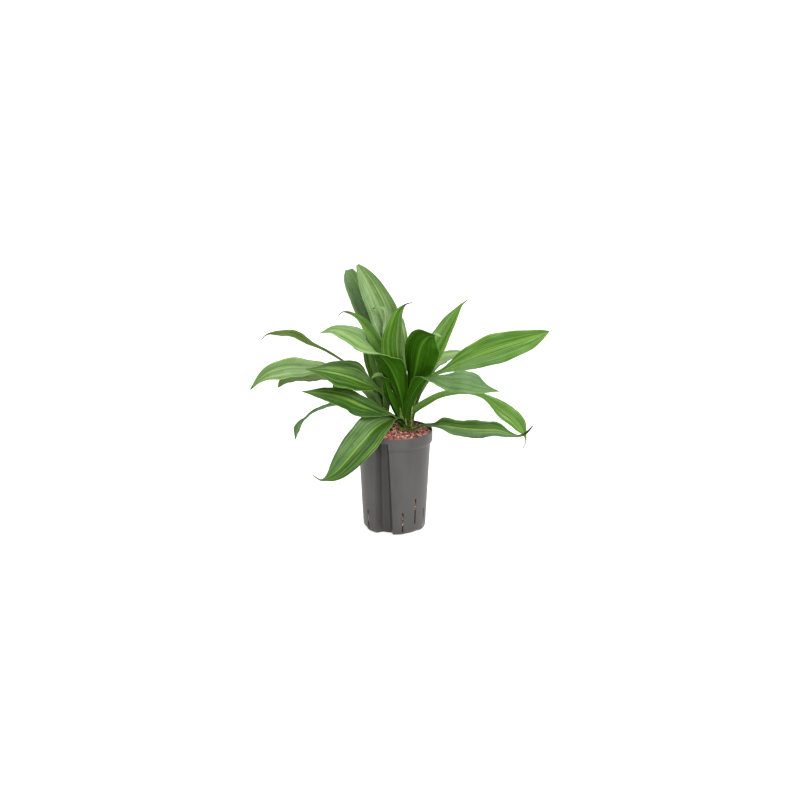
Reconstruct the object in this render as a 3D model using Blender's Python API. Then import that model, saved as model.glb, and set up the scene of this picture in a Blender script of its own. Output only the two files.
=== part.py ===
"""Potted dracaena: a leafy plant of three shoots in a ribbed plastic culture pot.

World coordinates in metres, +Z up. The origin is the middle of the pot's flat underside.
The front of the plant looks along -Y. Sizes below are in millimetres.
"""

import math
from dataclasses import dataclass

import bpy
import bmesh
import numpy as np

MM = 0.001
GAP = 0.3

# Pot, a 15 cm culture pot: all radii are to the outer face
POT_HEIGHT = 197.5
RIM_RADIUS = 74.0
COLLAR_HEIGHT = 20.0
COLLAR_SLOPE = 5.0
BODY_TOP_RADIUS = 68.0
BODY_BOTTOM_RADIUS = 60.5
WALL = 1.8
FLOOR = 2.4
FOOT_HEIGHT = 3.0
CORNER = 9.0

# Flutes: three grooves that run up the body and stop under the rim band
FLUTE_COUNT = 3
FRONT_FLUTE = math.radians(-90.0 - 20.0)
RIM_BAND = 10.0
FLUTE_HALF_ANGLE_TOP = math.radians(10.6)
FLUTE_HALF_ANGLE_BOTTOM = math.radians(17.5)
FLUTE_FLOOR_TOP = 55.0
FLUTE_FLOOR_BOTTOM = 41.0
FLUTE_STEPS = (-1.0, -0.88, -0.62, -0.3, 0.0, 0.3, 0.62, 0.88, 1.0)
FLUTE_DEPTHS = (0.0, 0.4, 0.93, 1.0, 1.0, 1.0, 0.93, 0.4, 0.0)
LOBE_STEPS = 9

# Drainage slots: three in each lobe, the middle one higher
SLOT_WIDTH = 2.6
SLOT_ANGLE = math.radians(25.0)
SIDE_SLOT = (6.0, 46.0)
MIDDLE_SLOT = (20.0, 71.0)

# Expanded clay filling
CLAY_TOP = 189.5
CLAY_BUMP = 1.8
CLAY_RINGS = (0.97, 0.86, 0.74, 0.62, 0.5, 0.38, 0.26, 0.13)

# Stems: centre line from inside the clay to the crown, with radii
STEM_SIDES = 10
STEM_FOOT = 110.0
STEMS = {
    "shoot_main": [(16, 16, STEM_FOOT, 8.0), (16, 16, 205, 8.0), (15, 14, 240, 6.0), (15, 13, 268, 3.5)],
    "shoot_left": [(-18, 22, STEM_FOOT, 6.0), (-18, 22, 200, 6.0), (-18, 23, 230, 4.5), (-18, 24, 252, 3.0)],
    "shoot_right": [(31, 31, STEM_FOOT, 5.5), (31, 31, 200, 5.5), (32, 31, 228, 4.2), (33, 31, 248, 3.0)],
}

# Leaf blades: length and width steps of each blade's grid, and its thickness
BLADE_LENGTH_STEPS = 14
BLADE_WIDTH_STEPS = 4
BLADE_THICKNESS = 1.0
EDGE_WAVE = 2.5
EDGE_WAVELENGTH = 52.0

# Ways that a leaf's upper side can look
FRONT = (0.1, -1.0, 0.3)
FRONT_UP = (0.0, -0.7, 0.7)
UP = (0.0, 0.1, 1.0)
UP_FRONT = (0.2, -0.3, 1.0)
BACK = (0.2, 1.0, 0.2)


@dataclass
class Leaf:
    """One leaf: its midrib from the stem to the tip, and how its blade spreads about it."""

    path: list
    facing: list
    width: float = 54.0
    fold: tuple = (50, 12, 12)
    widest: float = 0.6
    neck_ends: float = 0.1
    neck: float = 0.2
    bluntness: float = 0.8
    tip_thread: float = 0.05
    wave: float = EDGE_WAVE


LEAVES = {
    "shoot_main": [
        # the tallest, straight up behind the crown
        Leaf([(15, 20, 201), (11, 32, 249), (-2, 54, 324), (-24, 77, 407), (-51, 90, 467), (-74, 96, 503)],
             [(0.3, -1, 0.3), (0.25, -1, 0.3), (0.15, -1, 0.2)],
             64, (55, 28, 15), 0.62, bluntness=0.6, tip_thread=0.02),
        # rises in front of the crown, turns over and arches to the left
        Leaf([(16, 12, 206), (15, 2, 247), (7, -8, 284), (-4, -24, 318), (-19, -44, 346), (-36, -62, 366),
              (-57, -78, 383), (-77, -88, 399), (-95, -95, 410), (-115, -98, 416), (-139, -98, 410)],
             [BACK, (0.1, 1, 0.3), (0, 0.15, 1), (0, -0.8, 0.6), (0, -0.6, 0.8)],
             60, (55, 8, 12), 0.52, tip_thread=0.03),
        # upright folded leaf with a thin hooked tip
        Leaf([(16, 15, 204), (13, 8, 266), (1, 2, 327), (-2, -4, 368), (4, -8, 398), (9, -12, 428),
              (14, -14, 444), (20, -14, 450), (32, -14, 453)],
             [(0.1, -1, 0.1), (0.05, -1, 0.1), (0, -1, 0.3)],
             56, (55, 22, 30), 0.5, bluntness=0.6, tip_thread=0.06),
        # broad upright leaf whose end curls over
        Leaf([(18, 12, 206), (24, 2, 257), (32, -18, 306), (39, -38, 347), (48, -52, 375), (61, -62, 397),
              (73, -68, 401), (82, -72, 395), (88, -73, 388)],
             [BACK, (0.4, 0.9, 0.2), (0.53, 0.85, 0.2), (0.2, 0.5, 1), (0.4, -0.4, 0.9)],
             72, (50, 16, 20), 0.66, bluntness=0.5, tip_thread=0.03),
        # young narrow leaf inside the crown
        Leaf([(14, 18, 202), (5, 30, 280), (-2, 42, 357), (-9, 48, 401), (-20, 52, 420), (-42, 56, 427)],
             [(0.2, -1, 0.2), (0.1, -1, 0.3), (0, -0.6, 0.8)],
             32, (55, 28, 15), tip_thread=0.1),
        # rises at the front right and arches over
        Leaf([(18, 12, 200), (25, 2, 237), (36, -10, 271), (51, -26, 297), (66, -42, 311), (83, -58, 313),
              (105, -76, 312), (131, -94, 314), (160, -112, 311), (193, -126, 308)],
             [(-0.5, 0.9, 0.3), (-0.4, 0.7, 0.6), FRONT_UP, (0.1, -0.7, 0.7)],
             54, (50, 8, 12), 0.76, 0.2, 0.45),
        # lowest on the right, level, with an upturned thread at its tip
        Leaf([(18, 10, 204), (28, 0, 198), (38, -5, 199), (48, -7, 205), (60, -9, 209), (74, -13, 211),
              (97, -22, 211), (128, -32, 208), (164, -42, 209), (196, -50, 210), (219, -54, 206),
              (236, -58, 203), (249, -60, 207), (264, -61, 221)],
             [(0, -0.1, 1), (0, -0.6, 0.8), (0, -0.5, 0.8)],
             44, (45, 12, 20), 0.5, tip_thread=0.1),
        # broad leaf that hangs over the front left of the pot
        Leaf([(17, 12, 198), (13, 0, 210), (1, -14, 222), (-16, -34, 225), (-35, -58, 217), (-52, -78, 203),
              (-70, -92, 187), (-89, -104, 166), (-105, -111, 149), (-121, -116, 138), (-136, -118, 133),
              (-153, -120, 144)],
             [(-0.1, -0.3, 1), (0, -1, 0.35), (-0.1, -0.9, 0.4)],
             62, (50, 8, 15), 0.52, 0.02, bluntness=0.5, tip_thread=0.09, wave=1.5),
        # low left, above the hanging one
        Leaf([(15, 12, 194), (3, 0, 212), (-16, -14, 231), (-43, -34, 251), (-71, -54, 270), (-102, -72, 285),
              (-136, -86, 295), (-172, -97, 299)],
             [(0.1, -0.2, 1), (0, -0.8, 0.6), (0, -0.5, 0.85)], 54, widest=0.5),
        # arches straight back
        Leaf([(15, 20, 195), (13, 42, 240), (12, 66, 292), (10, 112, 348), (2, 165, 378), (-4, 222, 376),
              (-8, 268, 346)],
             [(0, -1, 0.4), (0, -0.6, 0.8), (0, 0.2, 1)], 56, (55, 28, 15)),
    ],
    "shoot_left": [
        # tall, behind the tallest one, its tip bent over
        Leaf([(-18, 24, 192), (-16, 38, 242), (-26, 78, 334), (-56, 106, 412), (-78, 120, 453), (-90, 127, 478),
              (-87, 133, 487), (-78, 137, 484)],
             [(0.3, -1, 0.2), (0.2, -1, 0.3), (0.4, -1, 0.3)],
             56, (55, 28, 15), bluntness=0.6, tip_thread=0.02),
        # narrow, with a long hooked tip
        Leaf([(-18, 20, 192), (-16, 22, 252), (-26, 28, 323), (-43, 40, 351), (-62, 50, 375), (-75, 58, 401),
              (-86, 62, 416), (-100, 64, 417), (-110, 64, 405)],
             [(0.4, -0.8, 0.2), (-0.3, -0.5, 0.8), (-0.2, -0.3, 0.9)],
             34, (50, 35, 30), 0.62, tip_thread=0.14),
        # broad, towards the front left
        Leaf([(-18, 20, 194), (-15, 8, 240), (-17, -2, 270), (-29, -16, 288), (-50, -34, 303), (-76, -56, 320),
              (-106, -76, 332), (-135, -92, 340), (-166, -105, 345)],
             [(0.3, -0.3, 1), (0, -0.85, 0.55), (0, -0.6, 0.8)],
             60, (50, 10, 12), 0.66),
        # reaches furthest left, tip hanging
        Leaf([(-18, 21, 192), (-18, 18, 229), (-34, 14, 254), (-55, 10, 273), (-82, 6, 291), (-110, 2, 306),
              (-143, 0, 317), (-175, -5, 321), (-204, -9, 322), (-234, -12, 315), (-257, -14, 301),
              (-276, -15, 281)],
             [(0.3, -0.3, 1), (0, -0.65, 0.75), FRONT_UP, (-0.3, -0.8, 0.5)],
             46, (50, 6, 25), 0.74),
        # long stalk, narrow blade high on the left
        Leaf([(-18, 24, 192), (-20, 36, 238), (-40, 46, 282), (-71, 53, 304), (-104, 60, 324), (-133, 66, 341),
              (-155, 72, 352), (-177, 76, 364), (-204, 80, 369), (-233, 83, 369), (-251, 85, 364),
              (-261, 86, 354)],
             [UP_FRONT, (0, -0.1, 1), (-0.2, -0.2, 1)],
             36, (45, 25, 20), 0.8, 0.58),
        # behind the furthest one and lower
        Leaf([(-18, 23, 192), (-24, 32, 231), (-55, 42, 263), (-87, 48, 279), (-116, 52, 286), (-145, 55, 290),
              (-173, 58, 287), (-196, 60, 283), (-214, 61, 279), (-227, 62, 266)],
             [UP_FRONT, (0, -0.3, 0.95), (-0.2, -0.4, 0.9)],
             40, (50, 8, 10), 0.66, bluntness=0.5, tip_thread=0.02),
        # thin, seen edge on, with a hanging end
        Leaf([(-18, 20, 193), (-26, 12, 211), (-47, 8, 230), (-76, 4, 241), (-103, 0, 245), (-132, -3, 241),
              (-155, -6, 231), (-173, -8, 218), (-184, -10, 207), (-189, -10, 195), (-192, -10, 181)],
             [(0.2, -0.2, 1), UP, (0, 0.2, 1), (-0.7, -0.6, 0.4)],
             32, (50, 8, 15), 0.76, wave=1.5),
        # upright striped one on the left of the crown
        Leaf([(-18, 23, 192), (-20, 34, 245), (-36, 44, 278), (-50, 52, 313), (-61, 58, 343), (-73, 62, 372)],
             [(0.4, -1, 0.1), (0.3, -1, 0.2), (0.2, -1, 0.3)], 38, (55, 28, 15)),
        # young one in the middle
        Leaf([(-17, 19, 193), (-13, 14, 254), (-18, 10, 295), (-28, 2, 311), (-41, -6, 307)],
             [(0.3, -1, 0.2), (0.1, -0.6, 0.8), (0, -0.4, 0.9)], 26, (55, 28, 15)),
        # back left
        Leaf([(-19, 24, 192), (-28, 44, 225), (-50, 78, 262), (-84, 130, 280), (-112, 180, 272),
              (-132, 226, 246)],
             [(0, -1, 0.4), (0, -0.4, 1), (0, 0.3, 1)], 52, (55, 28, 15)),
        # hangs down behind the pot
        Leaf([(-18, 24, 193), (-24, 46, 212), (-34, 84, 232), (-44, 130, 212), (-50, 170, 168),
              (-52, 196, 116)],
             [(0, -0.6, 0.8), UP, (0, 0.9, 0.5)], 54, (55, 28, 15)),
    ],
    "shoot_right": [
        # up to the right
        Leaf([(31, 32, 192), (28, 34, 249), (50, 52, 295), (81, 68, 341), (104, 80, 382), (124, 86, 415),
              (141, 90, 437)],
             [(-0.3, -1, 0.3), (-0.2, -1, 0.3), (-0.1, -1, 0.4)],
             48, (55, 28, 15), 0.58, tip_thread=0.08),
        # the broad striped one that reaches furthest right
        Leaf([(31, 30, 192), (36, 26, 255), (61, 30, 288), (88, 35, 302), (137, 42, 325), (205, 47, 349),
              (263, 50, 368), (299, 50, 383)],
             [(-0.4, -0.6, 0.8), (-0.1, -0.9, 0.5), (0, -0.9, 0.4)],
             60, (50, 12, 10), 0.72, 0.16, bluntness=0.55, tip_thread=0.02),
        # behind it, to the back right
        Leaf([(32, 33, 192), (46, 60, 252), (70, 90, 297), (92, 120, 308), (131, 150, 310), (180, 175, 311)],
             [UP_FRONT, (0, -0.45, 0.9), (0, -0.4, 0.9)], 42, (45, 8, 8)),
        # long stalk that arches over, the blade hanging at its end
        Leaf([(32, 30, 192), (39, 33, 221), (52, 38, 237), (69, 45, 246), (89, 52, 253), (115, 60, 256),
              (144, 67, 256), (168, 71, 250), (184, 72, 241), (200, 71, 228), (217, 68, 214), (235, 65, 200),
              (249, 62, 180), (259, 60, 160), (254, 58, 140)],
             [(0, -0.2, 1), (0.1, -0.3, 0.9), (0.3, -0.8, 0.5), (0.3, -0.9, 0.3)],
             42, (45, 25, 20), 0.72, 0.42, 0.3),
        # back right
        Leaf([(32, 33, 192), (38, 46, 225), (50, 80, 262), (70, 135, 284), (92, 190, 280), (110, 240, 260),
              (120, 275, 232)],
             [(0, -1, 0.4), (0, -0.4, 1), (0, 0.3, 1)], 52, (55, 28, 15)),
    ],
}


def clear_scene():
    for old in list(bpy.data.objects):
        bpy.data.objects.remove(old, do_unlink=True)


def make_material(name, colour, roughness):
    """A plain Principled material; colour is linear RGB."""
    material = bpy.data.materials.new(name)
    material.use_nodes = True
    shader = material.node_tree.nodes["Principled BSDF"]
    shader.inputs["Base Color"].default_value = (*colour, 1.0)
    shader.inputs["Roughness"].default_value = roughness
    shader.inputs["Metallic"].default_value = 0.0
    return material


def add_mesh_object(name, points_mm, faces, material=None):
    """A new object from points in millimetres."""
    mesh = bpy.data.meshes.new(name)
    mesh.from_pydata([[c * MM for c in p] for p in points_mm], [], faces)
    mesh.validate()
    thing = bpy.data.objects.new(name, mesh)
    bpy.context.collection.objects.link(thing)
    if material:
        mesh.materials.append(material)
    return thing


def apply_modifiers(thing):
    """Replace the object's mesh by what its modifiers make of it."""
    depsgraph = bpy.context.evaluated_depsgraph_get()
    made = bpy.data.meshes.new_from_object(thing.evaluated_get(depsgraph))
    thing.modifiers.clear()
    thing.data = made


# Pot rings: every ring has the same corners, which follow the flutes' edges

def ring_columns():
    """For each corner of a ring: the flute it belongs to, its step in it, its place in the lobe."""
    columns = []
    for flute in range(FLUTE_COUNT):
        for step, depth in zip(FLUTE_STEPS, FLUTE_DEPTHS):
            columns.append((flute, step, depth, None))
        for lobe in range(1, LOBE_STEPS):
            columns.append((flute, None, 0.0, lobe / LOBE_STEPS))
    return columns


COLUMNS = ring_columns()


def body_radius(z):
    """Outer radius of the tapered body."""
    return BODY_BOTTOM_RADIUS + (BODY_TOP_RADIUS - BODY_BOTTOM_RADIUS) * z / (POT_HEIGHT - COLLAR_HEIGHT)


def moved_inwards(outline, distance):
    """A closed flat outline with every side moved inwards by the same distance."""
    moved = []
    count = len(outline)
    for k in range(count):
        before = np.subtract(outline[k], outline[k - 1])
        after = np.subtract(outline[(k + 1) % count], outline[k])
        first = np.array((-before[1], before[0])) / np.linalg.norm(before)
        second = np.array((-after[1], after[0])) / np.linalg.norm(after)
        step = (first + second) * distance / max(1.0 + float(first @ second), 0.5)
        moved.append((outline[k][0] + step[0], outline[k][1] + step[1]))
    return moved


def ring(z, radius, fluted, inset=0.0, edge_lift=0.0):
    """Corners of one ring; inset moves it inwards from the outer face."""
    part_up = min(max(z / (POT_HEIGHT - RIM_BAND), 0.0), 1.0)
    half = FLUTE_HALF_ANGLE_BOTTOM + (FLUTE_HALF_ANGLE_TOP - FLUTE_HALF_ANGLE_BOTTOM) * part_up
    flute_floor = FLUTE_FLOOR_BOTTOM + (FLUTE_FLOOR_TOP - FLUTE_FLOOR_BOTTOM) * part_up
    pitch = 2 * math.pi / FLUTE_COUNT
    outline = []
    for flute, step, depth, lobe in COLUMNS:
        angle = FRONT_FLUTE + flute * pitch
        if lobe is None:
            angle += step * half
        else:
            angle += half + (pitch - 2 * half) * lobe
        reach = radius
        if fluted:
            reach += (flute_floor - radius) * depth
        outline.append((reach * math.cos(angle), reach * math.sin(angle)))
    if inset:
        outline = moved_inwards(outline, inset)
    corners = []
    for (x, y), (_, _, _, lobe) in zip(outline, COLUMNS):
        lifted = lobe is not None and 0.3 < lobe < 0.7
        corners.append((x, y, z + (edge_lift if lifted else 0.0)))
    return corners


def loft(rings):
    """Triangles between rings of equal length, with flat ends; walls that face match in their split."""
    count = len(rings[0])
    points = [corner for one in rings for corner in one]
    faces = []
    for level in range(len(rings) - 1):
        climbs = rings[level + 1][0][2] > rings[level][0][2]
        for k in range(count):
            a = level * count + k
            b = level * count + (k + 1) % count
            c = b + count
            d = a + count
            if climbs:
                faces += [(a, b, d), (b, c, d)]
            else:
                faces += [(a, b, c), (a, c, d)]
    faces.append(tuple(reversed(range(count))))
    faces.append(tuple(range(len(points) - count, len(points))))
    return points, faces


def slot_cutter(name, angle, span):
    """A thin upright box through the wall."""
    low, high = span
    bpy.ops.mesh.primitive_cube_add(size=1.0, location=(0, 0, 0))
    cutter = bpy.context.object
    cutter.name = name
    cutter.dimensions = (16.0 * MM, SLOT_WIDTH * MM, (high - low) * MM)
    middle = (low + high) / 2
    reach = body_radius(middle)
    cutter.location = (reach * math.cos(angle) * MM, reach * math.sin(angle) * MM, middle * MM)
    cutter.rotation_euler = (0, 0, angle)
    return cutter


def inner_rings(inset, rise):
    """The inner wall from the collar down to the floor, raised a little for what stands in it."""
    collar = POT_HEIGHT - COLLAR_HEIGHT
    under = collar - COLLAR_SLOPE
    return [
        ring(collar - 0.5 + rise, RIM_RADIUS, True, inset),
        ring(under + rise, body_radius(under), True, inset),
        ring(120.0 + rise, body_radius(120.0), True, inset),
        ring(60.0 + rise, body_radius(60.0), True, inset),
        ring(CORNER + FLOOR + rise, body_radius(CORNER), True, inset),
        ring(4.0 + FLOOR + rise, BODY_BOTTOM_RADIUS - 1.0, True, inset, FOOT_HEIGHT),
        ring(FLOOR + rise, BODY_BOTTOM_RADIUS - 1.1 * CORNER, True, inset),
    ]


def make_pot():
    rim = POT_HEIGHT
    band = rim - RIM_BAND
    collar = rim - COLLAR_HEIGHT
    under = collar - COLLAR_SLOPE
    inner_band = band + WALL
    outside = [
        ring(0.0, BODY_BOTTOM_RADIUS - CORNER, True),
        ring(1.2, BODY_BOTTOM_RADIUS - 0.4 * CORNER, True, edge_lift=FOOT_HEIGHT),
        ring(4.0, BODY_BOTTOM_RADIUS - 0.1 * CORNER, True, edge_lift=FOOT_HEIGHT),
        ring(CORNER, body_radius(CORNER), True),
        ring(60.0, body_radius(60.0), True),
        ring(120.0, body_radius(120.0), True),
        ring(under, body_radius(under), True),
        ring(under + 0.6, body_radius(under) + 1.6, True),
        ring(collar, RIM_RADIUS, True),
        ring(band - 0.5, RIM_RADIUS, True),
        ring(band, RIM_RADIUS, False),
        ring(rim - 1.0, RIM_RADIUS, False),
        ring(rim, RIM_RADIUS - 0.8, False),
    ]
    inside = [
        ring(rim, RIM_RADIUS - 0.4, False, WALL),
        ring(inner_band, RIM_RADIUS, False, WALL),
        ring(inner_band - 0.5, RIM_RADIUS, True, WALL),
    ] + inner_rings(WALL, 0.0)
    points, faces = loft(outside + inside)
    pot = add_mesh_object("pot", points, faces, make_material("recycled_grey_plastic", (0.12, 0.12, 0.115), 0.5))
    pitch = 2 * math.pi / FLUTE_COUNT
    for flute in range(FLUTE_COUNT):
        lobe_middle = FRONT_FLUTE + (flute + 0.5) * pitch
        for side, span in ((-1, SIDE_SLOT), (0, MIDDLE_SLOT), (1, SIDE_SLOT)):
            cutter = slot_cutter("slot_cutter", lobe_middle + side * SLOT_ANGLE, span)
            cut(pot, cutter)
    return pot


def cut(thing, cutter):
    """Take the cutter's shape out of the thing, and remove the cutter."""
    boolean = thing.modifiers.new("cut", "BOOLEAN")
    boolean.operation = "DIFFERENCE"
    boolean.solver = "EXACT"
    boolean.object = cutter
    bpy.context.view_layer.update()
    apply_modifiers(thing)
    bpy.data.objects.remove(cutter, do_unlink=True)


def bump(x, y):
    """Height of the granules' surface at a place, from -1 to 1."""
    return math.sin(0.83 * x + 1.7 * math.sin(0.31 * y)) * math.cos(0.77 * y - 1.3 * math.sin(0.37 * x))


def clay_surface_ring(share):
    """A ring of the clay's top at a share of its radius, bumpy."""
    edge = ring(CLAY_TOP, RIM_RADIUS, True, WALL + GAP)
    corners = []
    for x, y, z in edge:
        x *= share
        y *= share
        corners.append((x, y, z + CLAY_BUMP * bump(x, y)))
    return corners


def make_clay():
    """The filling: it follows the pot's inner wall, and the stems stand in holes in it."""
    inset = WALL + GAP
    wall = inner_rings(inset, GAP)[::-1]
    wall.append(ring(CLAY_TOP - 3.0, RIM_RADIUS, True, inset))
    top = [clay_surface_ring(share) for share in CLAY_RINGS]
    points, faces = loft(wall + top)
    clay = add_mesh_object("clay_granules", points, faces, make_material("fired_clay", (0.22, 0.08, 0.055), 0.9))
    for name, line in STEMS.items():
        x, y, foot, radius = line[0]
        depth = POT_HEIGHT - foot + 20.0
        bpy.ops.mesh.primitive_cylinder_add(
            vertices=16, radius=(radius + 2 * GAP) * MM, depth=depth * MM,
            location=(x * MM, y * MM, (foot - GAP + depth / 2) * MM))
        cut(clay, bpy.context.object)
    return clay


# Leaves: a smooth midrib, a blade folded in a V about it, and a waved edge

def smooth_path(points, steps):
    """Evenly spaced points on a smooth curve through the given ones, and its length."""
    knots = np.asarray(points, float)
    gaps = np.linalg.norm(np.diff(knots, axis=0), axis=1) ** 0.5
    slopes = np.diff(knots, axis=0) / gaps[:, None]
    tangents = np.empty_like(knots)
    tangents[0] = slopes[0]
    tangents[-1] = slopes[-1]
    before = gaps[:-1, None]
    behind = gaps[1:, None]
    tangents[1:-1] = (slopes[:-1] * behind + slopes[1:] * before) / (before + behind)
    u = np.linspace(0, 1, 40, endpoint=False)[:, None]
    pieces = []
    for k, gap in enumerate(gaps):
        pieces.append((2 * u**3 - 3 * u**2 + 1) * knots[k] + (u**3 - 2 * u**2 + u) * gap * tangents[k]
                      + (3 * u**2 - 2 * u**3) * knots[k + 1] + (u**3 - u**2) * gap * tangents[k + 1])
    curve = np.concatenate(pieces + [knots[-1:]])
    along = np.concatenate([[0], np.cumsum(np.linalg.norm(np.diff(curve, axis=0), axis=1))])
    wanted = np.linspace(0, along[-1], steps + 1)
    return np.stack([np.interp(wanted, along, curve[:, k]) for k in range(3)], -1), along[-1]


def unit(vectors):
    return vectors / (np.linalg.norm(vectors, axis=-1, keepdims=True) + 1e-12)


def blade_outline(s, leaf):
    """Half width along the leaf as a share of the widest: neck, blade, thread at the tip."""
    u = np.clip(s / (1 - leaf.tip_thread), 0, 1)
    t = np.clip((u - leaf.neck_ends) / (1 - leaf.neck_ends), 0, 1)
    peak = (leaf.widest - leaf.neck_ends) / (1 - leaf.neck_ends)
    rise = leaf.bluntness * peak / (1 - peak)
    body = t**rise * (1 - t)**leaf.bluntness / (peak**rise * (1 - peak)**leaf.bluntness)
    neck = leaf.neck * np.clip(1 - (u / 0.8)**3, 0, 1)
    thread = 0.05 * np.clip((1 - s) / (leaf.tip_thread + 0.02), 0, 1)**0.5
    return np.maximum(np.minimum((body**3 + neck**3)**(1 / 3), 1.0), thread)


def blade_grid(leaf, number, length_steps, width_steps):
    """The blade's middle surface as a grid of points in millimetres, rows from stem to tip."""
    rib, length = smooth_path(leaf.path, length_steps)
    s = np.linspace(0, 1, length_steps + 1)
    along = unit(np.gradient(rib, axis=0))
    keys = np.linspace(0, 1, len(leaf.facing))
    face = unit(np.stack([np.interp(s, keys, [f[k] for f in leaf.facing]) for k in range(3)], -1))
    normal = unit(face - (face * along).sum(1, keepdims=True) * along)
    side = np.cross(along, normal)
    share = blade_outline(s, leaf)
    half = leaf.width / 2 * share
    fold = np.radians(np.interp(s, [0, 0.2, 0.6, 1], [leaf.fold[0], leaf.fold[0], leaf.fold[1], leaf.fold[2]]))
    wavelength = EDGE_WAVELENGTH + 16 * (0.618 * number % 1.0)
    grid = np.zeros((length_steps + 1, width_steps + 1, 3))
    for column, v in enumerate(np.linspace(-1, 1, width_steps + 1)):
        phase = 2.4 * number + (1.3 if v > 0 else 0.0)
        ripple = leaf.wave * share * np.sin(2 * np.pi * s * length / wavelength + phase) * v**2
        across = half * v * np.cos(fold)
        raised = half * abs(v) * np.sin(fold) + ripple
        grid[:, column] = rib + side * across[:, None] + normal * raised[:, None]
    return grid


def make_blade(leaf, number):
    """A closed thin blade whose two faces share one split into triangles."""
    grid = blade_grid(leaf, number, BLADE_LENGTH_STEPS, BLADE_WIDTH_STEPS)
    rows, columns = grid.shape[:2]
    faces = []
    for row in range(rows - 1):
        for column in range(columns - 1):
            a = row * columns + column
            b = a + 1
            c = b + columns
            d = a + columns
            faces.append((a, b, c))
            faces.append((a, c, d))
    blade = add_mesh_object("blade", grid.reshape(-1, 3).tolist(), faces)
    solid = blade.modifiers.new("thickness", "SOLIDIFY")
    solid.thickness = BLADE_THICKNESS * MM
    solid.offset = 0.0
    bpy.context.view_layer.update()
    apply_modifiers(blade)
    return blade


def make_stem(name, line, material):
    """A round stem through its centre points, each with its radius."""
    rings = []
    for x, y, z, radius in line:
        corners = []
        for k in range(STEM_SIDES):
            angle = 2 * math.pi * k / STEM_SIDES
            corners.append((x + radius * math.cos(angle), y + radius * math.sin(angle), z))
        rings.append(corners)
    points, faces = loft(rings)
    return add_mesh_object(name, points, faces, material)


def make_shoot(name, first_number, material):
    """A stem with its leaves joined to it in one closed body."""
    shoot = make_stem(name, STEMS[name], material)
    blades = bpy.data.collections.new("blades")
    bpy.context.scene.collection.children.link(blades)
    for k, leaf in enumerate(LEAVES[name]):
        blade = make_blade(leaf, first_number + k)
        bpy.context.collection.objects.unlink(blade)
        blades.objects.link(blade)
    union = shoot.modifiers.new("union", "BOOLEAN")
    union.operation = "UNION"
    union.operand_type = "COLLECTION"
    union.collection = blades
    union.solver = UNION_SOLVER
    bpy.context.view_layer.update()
    apply_modifiers(shoot)
    for blade in list(blades.objects):
        bpy.data.objects.remove(blade, do_unlink=True)
    bpy.data.collections.remove(blades)
    shoot.data.materials.clear()
    shoot.data.materials.append(material)
    return shoot


UNION_SOLVER = "MANIFOLD"


def main():
    clear_scene()
    make_pot()
    make_clay()
    leaf_green = make_material("leaf_green", (0.06, 0.16, 0.025), 0.4)
    number = 1
    for name, leaves in LEAVES.items():
        make_shoot(name, number, leaf_green)
        number += len(leaves)


main()
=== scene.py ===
"""Potted dracaena in its studio: finer leaves, pot, clay pebbles and roots over the solid model.

All sizes are in millimetres unless a comment says otherwise; the scene itself is in metres.
"""

import math
from dataclasses import dataclass

import bpy
import numpy as np
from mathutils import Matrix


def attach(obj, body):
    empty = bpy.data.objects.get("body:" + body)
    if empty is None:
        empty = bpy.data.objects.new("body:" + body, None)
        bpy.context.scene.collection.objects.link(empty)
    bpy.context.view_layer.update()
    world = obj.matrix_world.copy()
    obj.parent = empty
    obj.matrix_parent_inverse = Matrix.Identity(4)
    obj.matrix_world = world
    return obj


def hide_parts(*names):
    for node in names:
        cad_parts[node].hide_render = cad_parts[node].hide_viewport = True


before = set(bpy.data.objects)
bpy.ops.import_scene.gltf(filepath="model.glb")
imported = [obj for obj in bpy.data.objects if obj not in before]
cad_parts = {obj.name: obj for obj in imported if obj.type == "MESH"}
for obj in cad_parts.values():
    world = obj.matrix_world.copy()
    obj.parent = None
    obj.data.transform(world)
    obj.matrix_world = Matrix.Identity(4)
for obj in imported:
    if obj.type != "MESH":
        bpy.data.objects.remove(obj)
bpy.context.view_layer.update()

MM = 0.001

# The photograph's view: an 85 mm lens, 3.64 m away and 15 degrees above level
LENS = 85.0
CAMERA_DISTANCE = 3.64
CAMERA_HEIGHT_ANGLE = math.radians(15.0)
LOOKED_AT = (0.0108, 0.0, 0.2555)

# Pot: radii of the outer face
POT_HEIGHT = 197.5
RIM_RADIUS = 74.0
COLLAR_HEIGHT = 20.0
COLLAR_SLOPE = 5.0
BODY_TOP_RADIUS = 70.0
BODY_BOTTOM_RADIUS = 60.0
WALL = 1.8
FLOOR = 2.4
FOOT_HEIGHT = 3.0
CORNER = 9.0
FLUTE_COUNT = 3
FRONT_FLUTE = math.radians(-90.0 - 20.0)
RIM_BAND = 10.0
FLUTE_HALF_ANGLE_TOP = math.radians(10.6)
FLUTE_HALF_ANGLE_BOTTOM = math.radians(17.5)
FLUTE_FLOOR_TOP = 55.0
FLUTE_FLOOR_BOTTOM = 41.0
SLOT_WIDTH = 3.2
SLOT_ANGLE = math.radians(25.0)
SIDE_SLOT = (6.0, 46.0)
MIDDLE_SLOT = (20.0, 71.0)

# Clay filling
CLAY_TOP = 189.5
CLAY_BUMP = 1.8
PEBBLE_SPACING = 4.6
PEBBLE_SIZES = (3.6, 7.2)

# Leaf blades
BLADE_ROWS = 72
BLADE_COLUMNS = 16
BLADE_THICKNESS = 0.7
EDGE_WAVE = 2.5
EDGE_WAVELENGTH = 52.0

# Ways that a leaf's upper side can look
FRONT_UP = (0.0, -0.7, 0.7)
UP = (0.0, 0.1, 1.0)
UP_FRONT = (0.2, -0.3, 1.0)
BACK = (0.2, 1.0, 0.2)

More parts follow.
